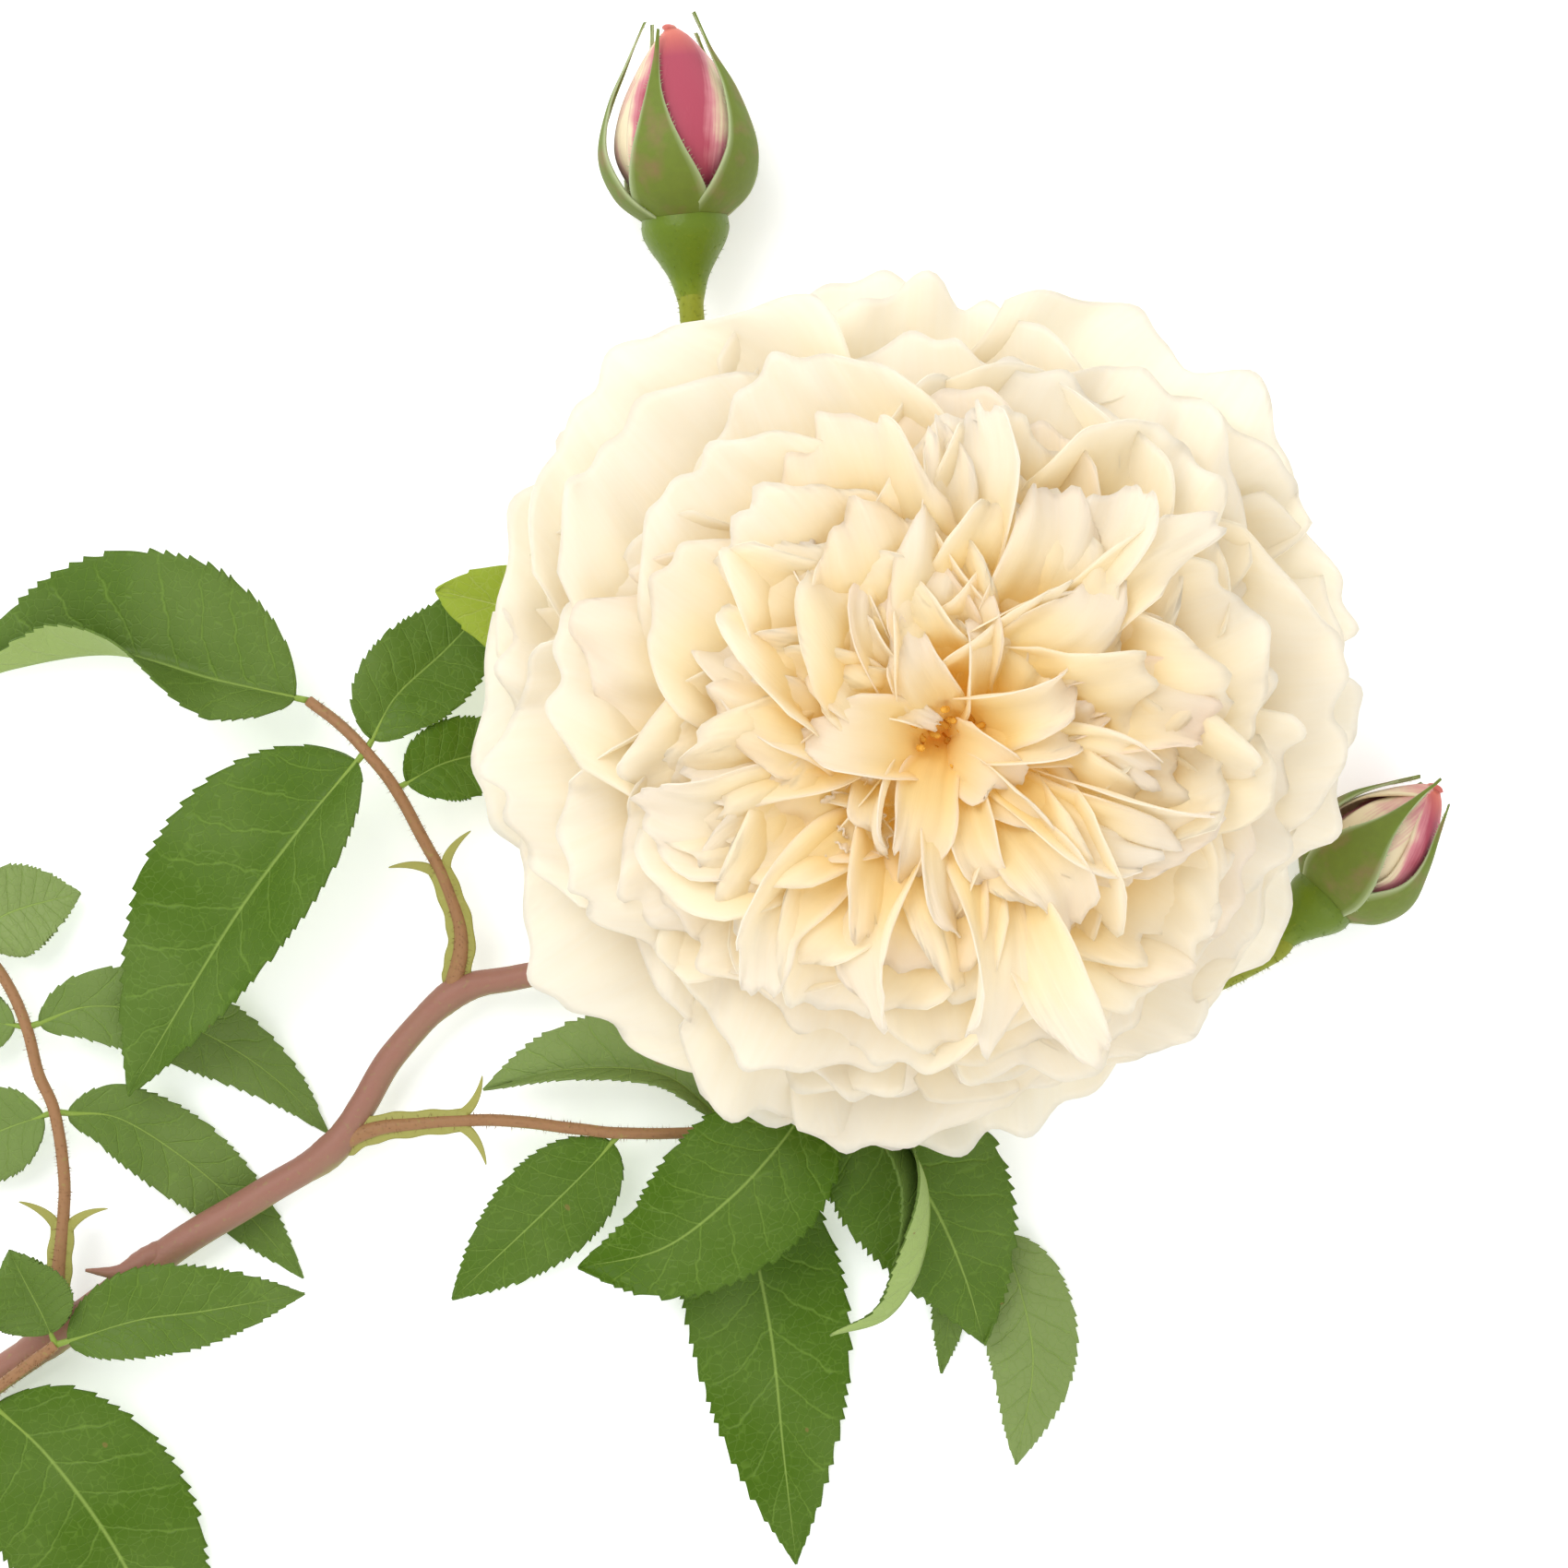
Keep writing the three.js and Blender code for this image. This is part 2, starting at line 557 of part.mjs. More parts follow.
// Small leafy bract on the upper bud's stalk, hooked round beside the bloom
function bract() {
  const run = [[-24.6, 14.5, 5.5], [-38, 9.5, 9.5], [-51, 10, 12.5], [-55, 15.5, 13.5], [-48, 20.5, 14]];
  return named('bract', leafletSolid(run.map(at), [5, 5], [4, 4], 1.6, 0.6), looks.paleLeaf);
}

const spray = new THREE.Group();
spray.add(named('main_stem', fromManifold(joined(stemBody)), looks.stem));
spray.add(named('bloom_stalk', bloomStalk, looks.stalk));
spray.add(named('upper_bud_stalk', upperBudStalk, looks.stalk));
spray.add(named('side_bud_stalk', sideBudStalk, looks.stalk));
spray.add(bloomGroup());
spray.add(budGroup('upper_bud', upperBudBase, upperBudAxis, upperBudRadius, -14));
spray.add(budGroup('side_bud', sideBudBase, sideBudAxis, sideBudRadius, 10));
for (const [name, leaf] of Object.entries(leaves)) spray.add(leafGroup(name, leaf));
spray.add(bract());

// The origin is the middle of the whole spray's footprint, on the surface that it lies on
spray.updateMatrixWorld(true);
const box = new THREE.Box3().setFromObject(spray, true);
spray.position.set(-(box.min.x + box.max.x) / 2, -(box.min.y + box.max.y) / 2, -box.min.z);

export default spray;
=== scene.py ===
import bpy
import numpy as np
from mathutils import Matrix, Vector


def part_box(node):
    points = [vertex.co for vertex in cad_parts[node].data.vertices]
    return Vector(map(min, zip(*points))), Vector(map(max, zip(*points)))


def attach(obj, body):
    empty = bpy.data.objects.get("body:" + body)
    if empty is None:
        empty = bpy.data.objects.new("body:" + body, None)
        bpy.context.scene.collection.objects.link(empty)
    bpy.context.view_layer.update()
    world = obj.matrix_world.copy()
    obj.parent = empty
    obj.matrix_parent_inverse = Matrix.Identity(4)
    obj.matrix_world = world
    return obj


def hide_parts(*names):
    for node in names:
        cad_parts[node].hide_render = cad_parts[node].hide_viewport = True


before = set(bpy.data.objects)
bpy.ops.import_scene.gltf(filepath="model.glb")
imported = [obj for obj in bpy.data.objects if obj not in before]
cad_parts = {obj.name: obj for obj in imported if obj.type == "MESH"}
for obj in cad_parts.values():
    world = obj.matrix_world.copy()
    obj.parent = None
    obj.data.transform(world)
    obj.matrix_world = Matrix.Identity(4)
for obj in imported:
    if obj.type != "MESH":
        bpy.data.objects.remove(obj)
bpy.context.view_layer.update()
mm = 0.001

# The bloom's place in the drawing's own millimetres; the frame's stamen boss says where the drawing lies
bloomPlace = {"rim": (-0.85, 2.0, 27.8), "axis": (0.0636, -0.1429, 0.9877), "bossMiddle": 3.2, "heart": 22.5}
rim = np.array(bloomPlace["rim"])
axis = np.array(bloomPlace["axis"])
bossLow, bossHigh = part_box("stamen_boss")
shift = (np.array(bossLow) + np.array(bossHigh)) / 2 / mm - (rim + bloomPlace["bossMiddle"] * axis)


def unit(v):
    v = np.asarray(v, float)
    return v / np.maximum(np.linalg.norm(v, axis=-1, keepdims=True), 1e-9)


# A smooth curve through the points: between two points it is the cubic whose slope at each is half the
# step between that point's neighbours. It is then spaced evenly along its length
def curveThrough(points, count):
    p = np.asarray(points, float)
    p = np.vstack([2 * p[0] - p[1], p, 2 * p[-1] - p[-2]])
    spans = len(p) - 3
    t = np.linspace(0, spans, spans * 24 + 1)
    k = np.minimum(t.astype(int), spans - 1)
    f = (t - k)[:, None]
    a, b, c, d = p[k], p[k + 1], p[k + 2], p[k + 3]
    fine = 0.5 * (2 * b + (c - a) * f + (2 * a - 5 * b + 4 * c - d) * f**2 + (3 * b - 3 * c + d - a) * f**3)
    run = np.concatenate([[0], np.cumsum(np.linalg.norm(np.diff(fine, axis=0), axis=1))])
    even = np.linspace(0, run[-1], count)
    return np.stack([np.interp(even, run, fine[:, i]) for i in range(fine.shape[1])], axis=1)


# A smooth row of values through evenly spaced ones, read at the shares t
def shareCurve(values, t):
    v = np.asarray(values, float)
    x = np.linspace(0, 1, len(v))
    smooth = curveThrough(np.stack([x, v], axis=1), 96)
    return np.interp(t, smooth[:, 0], smooth[:, 1])


def mixed(a, b, share):
    return a + (b - a) * share


def gridFaces(rows, cols, wrap):
    i = np.arange(rows - 1)[:, None]
    j = np.arange(cols if wrap else cols - 1)[None, :]
    a = i * cols + j
    b = i * cols + (j + 1) % cols
    ring = [a, b, b + cols, a + cols] if wrap else [a, a + cols, b + cols, b]
    return np.stack(ring, axis=-1).reshape(-1, 4)


# A sheet or tube as a part: its points, faces, two pattern directions and named values at each point
def part(points, along, across, wrap=False, values=None):
    rows, cols = points.shape[:2]
    faces = gridFaces(rows, cols, wrap).tolist()
    if wrap:
        faces.append(list(range(cols - 1, -1, -1)))
        faces.append(list(range((rows - 1) * cols, rows * cols)))
    shape = (rows, cols)
    named = {key: np.broadcast_to(v, shape).ravel() for key, v in (values or {}).items()}
    uv = np.stack([np.broadcast_to(along, shape), np.broadcast_to(across, shape)], axis=-1)
    return {"points": points.reshape(-1, 3), "faces": faces, "uv": uv.reshape(-1, 2), "values": named}


# Several parts become one mesh object in the frame's place; the piece is named, and the frame's parts for the
# nodes it stands for are hidden
def makePiece(name, parts, materials, nodes, thick=0.0):
    start = np.cumsum([0] + [len(p["points"]) for p in parts])
    points = np.concatenate([p["points"] for p in parts])
    faces = [[v + int(s) for v in f] for p, s in zip(parts, start) for f in p["faces"]]
    mesh = bpy.data.meshes.new(name)
    points = points + shift
    points[:, 2] = np.maximum(points[:, 2], thick / 2 + 0.02)  # nothing sinks into the surface it lies on
    mesh.from_pydata(points * mm, [], faces)
    corner = np.empty(len(mesh.loops), dtype=np.int32)
    mesh.loops.foreach_get("vertex_index", corner)
    uv = np.concatenate([p["uv"] for p in parts])[corner]
    mesh.uv_layers.new(name="grain").data.foreach_set("uv", uv.ravel())
    for key in parts[0]["values"]:
        spread = np.concatenate([p["values"][key] for p in parts]).astype(np.float32)
        mesh.attributes.new(key, "FLOAT", "POINT").data.foreach_set("value", spread)
    mesh.polygons.foreach_set("use_smooth", np.ones(len(mesh.polygons), dtype=bool))
    mesh.update()
    piece = bpy.data.objects.new(name, mesh)
    bpy.context.scene.collection.objects.link(piece)
    for material in materials:
        mesh.materials.append(material)
    if thick:
        wall = piece.modifiers.new("thickness", "SOLIDIFY")
        wall.thickness = thick * mm
        wall.offset = 0
        wall.material_offset = len(materials) - 1
        wall.use_quality_normals = True
    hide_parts(*nodes)
    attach(piece, "root")
    return piece


# The sky side of a stem, where the sun has coloured it, leans towards the head of the spray
sunSide = unit([-0.25, 0.6, 0.76])


# A tube along a path: rings of the given radii stand square to the path, and ripple adds knots to them
def tubePart(path, radii, sides, steps, ripple=0.0, seed=0):
    line = curveThrough(path, steps)
    t = np.linspace(0, 1, steps)
    way = unit(np.gradient(line, axis=0))
    side = unit(np.cross(way, [0.05, 0.02, 1.0]))
    top = np.cross(side, way)
    turn = np.linspace(0, 2 * np.pi, sides, endpoint=False)[None, :]
    r = shareCurve(radii, t)[:, None]
    rng = np.random.default_rng(seed)
    a, b = rng.uniform(0, 6.28, 2)
    r = r * (1 + ripple * np.sin(t[:, None] * 37 + a + 2 * turn) * np.sin(t[:, None] * 17 + b - turn))
    ring = side[:, None] * np.cos(-turn)[..., None] + top[:, None] * np.sin(-turn)[..., None]
    points = line[:, None] + ring * r[..., None]
    facing = ring @ sunSide
    return part(points, t[:, None], turn / 6.2832, True, {"topSide": facing, "along": t[:, None]})


# A turned shape: the profile's radius and height are carried round the axis at the base point
def turnedPart(profile, base, way, up, rows, sides):
    z = unit(way)
    x = unit(np.asarray(up) - z * np.dot(up, z))
    y = np.cross(z, x)
    line = curveThrough(profile, rows)
    turn = np.linspace(0, 2 * np.pi, sides, endpoint=False)[None, :]
    r, h = line[:, :1], line[:, 1:]
    flat = (r * np.cos(turn))[..., None] * x + (r * np.sin(turn))[..., None] * y
    points = base + flat + (h + 0 * turn)[..., None] * z
    t = np.linspace(0, 1, rows)[:, None]
    return part(points, t, turn / 6.2832, True, {"topSide": np.cos(turn) + 0 * t, "along": t})


# Short hairs on a surface: each is a slim three-sided spike from a point along its own direction
def hairPart(roots, ways, lengths, radius):
    way = unit(ways)
    side = unit(np.cross(way, [0.3, 0.5, 0.81]))
    other = np.cross(way, side)
    turn = np.array([0, 2.0944, 4.1888])
    ring = side[:, None] * np.cos(turn)[None, :, None] + other[:, None] * np.sin(turn)[None, :, None]
    foot = roots[:, None] + ring * radius
    tip = (roots + way * lengths[:, None])[:, None]
    points = np.concatenate([foot, tip], axis=1).reshape(-1, 3)
    start = np.arange(len(roots))[:, None] * 4
    faces = np.concatenate([start + f for f in ([0, 1, 3], [1, 2, 3], [2, 0, 3], [2, 1, 0])], axis=0)
    n = len(points)
    values = {"topSide": np.full(n, 0.4), "along": np.tile([0.2, 0.2, 0.2, 1.0], len(roots))}
    return {"points": points, "faces": faces.tolist(), "uv": np.zeros((n, 2)), "values": values}


# A hex colour as it is seen on a screen, turned linear for the shaders
def srgb(code):
    c = np.array([int(code[i : i + 2], 16) for i in (1, 3, 5)]) / 255
    line = np.where(c <= 0.04045, c / 12.92, ((c + 0.055) / 1.055) ** 2.4)
    return (*line.tolist(), 1.0)


# Adds one node and gives one of its outputs. Each setting is the node's own choice, or a socket's value:
# a link when it is another node's output, a colour when it is a hex code, and otherwise a number
def node(tree, kind, settings, output=0):
    made = tree.nodes.new("ShaderNode" + kind)
    for key, value in settings.items():
        if key == "stops":
            for i, (place, code) in enumerate(value):
                stop = made.color_ramp.elements[i] if i < 2 else made.color_ramp.elements.new(place)
                stop.position = place
                stop.color = srgb(code)
        elif isinstance(key, str) and hasattr(made, key):
            setattr(made, key, value)
        elif isinstance(value, bpy.types.NodeSocket):
            tree.links.new(value, made.inputs[key])
        else:
            made.inputs[key].default_value = srgb(value) if isinstance(value, str) else value
    return made.outputs[output] if made.outputs else None


# A value that wanders with a noise: value + (noise - 0.5) * amount
def wandering(tree, value, noise, amount):
    swing = node(tree, "Math", {"operation": "MULTIPLY_ADD", 0: noise, 1: amount, 2: -0.5 * amount})
    return node(tree, "Math", {"operation": "ADD", 0: value, 1: swing})


def newMaterial(name):
    material = bpy.data.materials.new(name)
    material.use_nodes = True
    material.node_tree.nodes.clear()
    return material, material.node_tree


# Closes a material: the main shader, and where it is thin a share of light let through from behind
def closeMaterial(tree, color, bump, rough, through=0.0, glow=None, settings=None):
    base = {"Base Color": color, "Roughness": rough, "IOR": 1.45, "Specular IOR Level": 0.35}
    if bump is not None:
        base["Normal"] = bump
    shader = node(tree, "BsdfPrincipled", {**base, **(settings or {})})
    if through:
        back = node(tree, "BsdfTranslucent", {"Color": glow or color})
        shader = node(tree, "MixShader", {0: through, 1: shader, 2: back})
    node(tree, "OutputMaterial", {"Surface": shader})


# Rose petal, grown: a thin skin of tiny domed cells, so it looks velvety, never shiny, and light comes
# through it. It is gold at the claw and near white at the rim, and a painted gold glow lies at its foot. Sizes of
# patterns are in mm
petalLook = {
    "claw": "#F2B83A", "low": "#F7D67E", "middle": "#F8E7B4", "high": "#FAF5E6", "rim": "#FCFAF5",
    # inner is the colour of the painted glow at the petal's foot
    "blush": "#F4D3C0", "glow": "#FFFAEC", "inner": "#FFCB5C", "through": 0.5, "rough": 0.62,
    "cloud": 7.7, "veins": 46.0, "warmShift": 0.5,
}


# paintedGlowShare is how strongly the gold at a petal's foot glows: a painted glow that stands in for light
# caught between petals
def petalMaterial(name, paintedGlowShare):
    look = petalLook
    material, tree = newMaterial(name)
    along, warm, blush, edge = [
        node(tree, "Attribute", {"attribute_name": key}, "Fac") for key in ("along", "warm", "blush", "edge")
    ]
    here = node(tree, "TexCoord", {}, "Object")
    uv = node(tree, "UVMap", {"uv_map": "grain"})
    cloud = node(tree, "TexNoise", {"Scale": 1 / (look["cloud"] * mm), "Detail": 3.0, "Vector": here})
    shifted = node(tree, "Math", {"operation": "MULTIPLY_ADD", 0: warm, 1: -look["warmShift"], 2: along})
    place = wandering(tree, shifted, cloud, 0.22)
    stops = [(0.0, look["claw"]), (1.0, look["rim"]), (0.2, look["low"])]
    stops += [(0.45, look["middle"]), (0.72, look["high"])]
    color = node(tree, "ValToRGB", {"stops": stops, 0: place})
    spread = node(tree, "Mapping", {"Scale": (2.5, look["veins"], 1.0), "Vector": uv})
    vein = node(tree, "TexNoise", {"Scale": 1.0, "Detail": 2.0, "Roughness": 0.6, "Vector": spread})
    pale = node(tree, "Math", {"operation": "MULTIPLY", 0: edge, 1: 0.6})
    color = node(tree, "Mix", {"data_type": "RGBA", 0: pale, 6: color, 7: look["rim"]}, 2)
    pink = node(tree, "Math", {"operation": "MULTIPLY", 0: blush, 1: 0.5})
    color = node(tree, "Mix", {"data_type": "RGBA", 0: pink, 6: color, 7: look["blush"]}, 2)
    streak = node(tree, "MapRange", {0: vein, 1: 0.35, 2: 0.65, 3: 0.0, 4: 0.06})
    streaked = {"data_type": "RGBA", "blend_type": "MULTIPLY", 0: streak, 6: color, 7: look["low"]}
    color = node(tree, "Mix", streaked, 2)
    bump = node(tree, "Bump", {"Strength": 0.22, "Distance": 0.3 * mm, "Height": vein})
    # Painted glow: emission strongest at the claw, fading to almost none towards the rim
    paintedGlowStrength = node(tree, "MapRange", {0: place, 1: 0.0, 2: 0.8, 3: paintedGlowShare, 4: 0.012})
    closeMaterial(tree, color, bump, look["rough"], look["through"], look["glow"], {
        "Sheen Weight": 0.12, "Sheen Roughness": 0.5, "Emission Color": look["inner"], "Emission Strength": paintedGlowStrength,
    })
    return material


petalSkin = petalMaterial("rose petal, fresh and velvety", 0.1)
heartSkin = petalMaterial("rose petal, young and golden inside", 0.18)

# The bloom stands on its own axis; local x is the world's, turned square to it
bloomX = unit(np.array([1.0, 0, 0]) - axis * axis[0])
bloomY = np.cross(axis, bloomX)


def fromBloom(points):
    p = np.asarray(points, float)
    return rim + p[..., :1] * bloomX + p[..., 1:2] * bloomY + p[..., 2:] * axis


# One petal. A rib runs through the path, and the sheet's width lies along across. Over it the sheet is an
# arc of a circle: point = rib + side * sin(bend * s) / bend + face * (1 - cos(bend * s)) / bend, with s the
# distance from the rib. A V fold, rolled margins, long pleats and a waved, nicked margin are added to it
def petalPart(path, across, look, rng):
    base = {
        "outline": (0.16, 0.4, 0.7, 0.92, 1.0, 0.95, 0.78), "point": 0.0, "flute": 0.4, "uneven": 0.05,
        "twist": 0.0, "waves": 4.0, "rows": 26, "cols": 25, "tipTurn": 0.0, "crinkle": 0.1, "notch": 0.0,
    }
    q = {**base, **look}
    line = curveThrough(path, 64)
    s64 = np.linspace(0, 1, 64)
    way = unit(np.gradient(line, axis=0))
    side = unit(across - way * np.sum(way * across, axis=1, keepdims=True))
    face = np.cross(way, side)
    lean = np.radians(q["roll"] + q["twist"] * s64)[:, None]
    side, face = side * np.cos(lean) + face * np.sin(lean), face * np.cos(lean) - side * np.sin(lean)
    u = np.linspace(0, 1, q["rows"])[:, None]
    w = np.linspace(-1, 1, q["cols"])[None, :]
    w = np.sin(w * np.pi / 2) * 0.35 + w * 0.65
    point = q["point"] * np.exp(-((w / 0.22) ** 2)) * u**6
    t = u * (1 - q["drop"] * np.abs(w) ** 2.3 * u + q["tipTurn"] * w * u) / (1 + abs(q["tipTurn"]) * 0.6)
    nick = rng.uniform(0, 6.28, 6)
    t = t - q["notch"] * np.exp(-(((w - 0.5 * np.sin(nick[4])) / 0.13) ** 2)) * u**8
    t = t + point + 0.016 * u**5 * (np.sin(w * 7 + nick[0]) + 0.8 * np.sin(w * 15 + nick[3])) * (1 - w * w * 0.5)
    tc = np.clip(t, 0, 1)
    over = (t - tc)[..., None] * 30  # past the rib's end the sheet goes straight on
    half = q["half"] * shareCurve(q["outline"], tc)
    s = w * half
    bend = np.radians(max(q["cup"], 2.0)) / q["half"]
    x = np.sin(bend * s) / bend
    y = (1 - np.cos(bend * s)) / bend
    y = y + q["fold"] * (np.sqrt(s * s + 0.36) - 0.6)
    x = x * (1 - 0.35 * min(abs(q["fold"]), 1.2) * 0.8)
    tip = np.clip((tc - 0.62) / 0.38, 0, 1) ** 2
    y = y - q["tipCurl"] * tip - q["sideCurl"] * np.abs(w) ** 4 * tc
    margin = np.maximum(np.abs(w) ** 3, u**5) * np.clip(tc * 2, 0, 1)
    wave = np.sin(q["waves"] * (1.6 * tc + 0.9 * w) + nick[1])
    wave = wave + 0.55 * np.sin(q["waves"] * 2.3 * (tc - 0.8 * w) + nick[2])
    y = y + q["ruffle"] * margin * wave
    x = x + 0.4 * q["ruffle"] * margin * np.sin(q["waves"] * 1.9 * tc + nick[3])
    y = y + q["pleat"] * np.sin(w * 11 + nick[4] + 1.2 * np.sin(tc * 3)) * np.sin(np.pi * tc) ** 0.7
    y = y + 0.06 * q["half"] * np.sin(2.6 * w + nick[5]) * np.sin(3.4 * tc + nick[0])
    y = y + q["flute"] * np.sin(5.2 * w + 2.4 * tc + nick[2] * 2) * tc**1.2
    y = y + 0.3 * q["flute"] * np.sin(13 * w - 5 * tc + nick[3]) * tc**2
    sway = np.sin(9 * tc + nick[1] + np.sign(w) * nick[5]) + 0.6 * np.sin(17 * tc + nick[2] - np.sign(w))
    x = x * (1 + q["uneven"] * sway)
    y = y + q["crinkle"] * margin * np.sin(17 * w + 19 * tc + nick[0]) * (1 + 0.6 * np.sin(5 * tc + 4 * w))
    ribAt, sideAt, faceAt, wayAt = [
        np.stack([np.interp(tc, s64, rows[:, i]) for i in range(3)], axis=-1) for rows in (line, side, face, way)
    ]
    points = ribAt + sideAt * x[..., None] + faceAt * y[..., None] + wayAt * over
    edge = np.clip((np.maximum(np.abs(w), u) - 0.72) / 0.28, 0, 1) ** 2
    values = {"along": tc, "warm": q["warm"], "blush": q["blush"] * edge, "edge": edge}
    return part(points, tc, w * 0.5 + 0.5 + rng.uniform(0, 3), False, values)


# Rings of petals from the rim inwards: how many, first angle, reach, height, half width, cup, fold, ruffle,
# warmth, spread of roll, and which nodes the ring stands for
ringTable = [
    ("guardPetals", "outer_petal", "guard_petal_", 6, [
        (8, 12, 52.7, -2.0, 23, 20, 0.0, 1.0, 0.04, 4),
        (8, 36, 51.3, 3.0, 21, 24, 0.0, 1.1, 0.08, 5),
    ]),
    ("secondPetals", "outer_petal", "second_petal_", 6, [
        (8, 5, 46.6, 9.0, 19, 28, 0.0, 1.2, 0.18, 8),
        (8, 27, 43.6, 14.5, 17, 30, 0.02, 1.2, 0.28, 10),
    ]),
    ("thirdPetals", "outer_petal", "third_petal_", 5, [
        (9, 10, 40.2, 19.5, 15.0, 30, 0.04, 1.2, 0.42, 12),
        (9, 30, 36.8, 23.5, 13.5, 34, 0.08, 1.1, 0.52, 16),
    ]),
    ("fourthPetals", "inner_petal", "fourth_petal_", 5, [
        (9, 2, 33.4, 26.5, 12.6, 34, 0.06, 1.0, 0.52, 14),
        (9, 20, 29.4, 29.0, 11.0, 36, 0.06, 0.9, 0.6, 16),
        (9, 8, 25.4, 30.5, 9.6, 38, 0.06, 0.8, 0.68, 16),
        (8, 30, 21.0, 30.5, 8.8, 40, 0.06, 0.7, 0.76, 14),
        (8, 5, 16.5, 29.0, 6.6, 50, 0.1, 0.5, 0.84, 18),
        (7, 20, 12.0, 26.5, 5.6, 60, 0.1, 0.4, 0.92, 16),
        (8, 33, 17.0, 22.5, 8.5, 36, 0.0, 0.4, 1.0, 6),
        (6, 10, 7.0, 22.0, 4.4, 70, 0.1, 0.3, 1.0, 12),
    ]),
]
ringLook = {
    "seed": 11, "angleSpread": 9.0, "reachSpread": 0.075, "heightSpread": 1.8, "thick": 0.2,
    "fineFrom": 13,  # petals of a greater half width get a finer grid
}


def ringParts(rings, rng, level):
    parts = []
    for count, first, reach, height, half, cup, fold, ruffle, warm, rollSpread in rings:
        level += 1
        for i in range(count):
            a = np.radians(first + 360 / count * i + rng.uniform(-1, 1) * ringLook["angleSpread"])
            r = reach * (1 + rng.uniform(-1.0, 0.8) * ringLook["reachSpread"] * min(1, 0.35 + 0.2 * level))
            z = height + rng.uniform(-1, 1) * ringLook["heightSpread"]
            way = np.array([[3.2, 0.5 * level], [0.36 * r, 0.62 * z + 3], [0.74 * r, z + 2.4], [r, z]])
            path = fromBloom(np.stack([way[:, 0] * np.cos(a), way[:, 0] * np.sin(a), way[:, 1]], axis=1))
            across = np.cos(a) * bloomY - np.sin(a) * bloomX
            blush = rng.uniform(-0.6, 0.5)
            look = {
                "half": half * rng.uniform(0.88, 1.1), "cup": cup * rng.uniform(0.7, 1.3),
                "fold": fold * rng.uniform(0.3, 1.6), "ruffle": ruffle * rng.uniform(0.9, 1.6),
                "waves": rng.uniform(3.5, 7.5), "warm": warm + rng.uniform(-0.05, 0.05),
                "roll": rng.uniform(-1, 1) * rollSpread, "twist": rng.uniform(-1, 1) * rollSpread * 0.8,
                "tipCurl": rng.uniform(-0.6, 2.0), "sideCurl": rng.uniform(0.0, 1.4),
                "point": rng.uniform(-0.01, 0.025), "drop": rng.uniform(0.17, 0.27), "pleat": 0.16,
                "tipTurn": rng.uniform(-0.06, 0.06), "blush": max(0, blush) if warm > 0.35 else 0.0,
                "flute": rng.uniform(0.05, 0.09) * half, "uneven": 0.06,
                "crinkle": 0.02 * half, "notch": max(0, rng.uniform(-0.05, 0.07)),
                "rows": 38 if half > ringLook["fineFrom"] else 26,
                "cols": 49 if half > ringLook["fineFrom"] else 27,
            }
            parts.append(petalPart(path, across, look, rng))
    return parts, level


rng = np.random.default_rng(ringLook["seed"])
level = 0
for name, slot, stem, count, rings in ringTable:
    parts, level = ringParts(rings, rng, level)
    skin = petalSkin if slot == "outer_petal" else heartSkin
    makePiece(name, parts, [skin], [stem + str(i + 1) for i in range(count)], ringLook["thick"])
    print("stage:", name, len(parts), "petals")

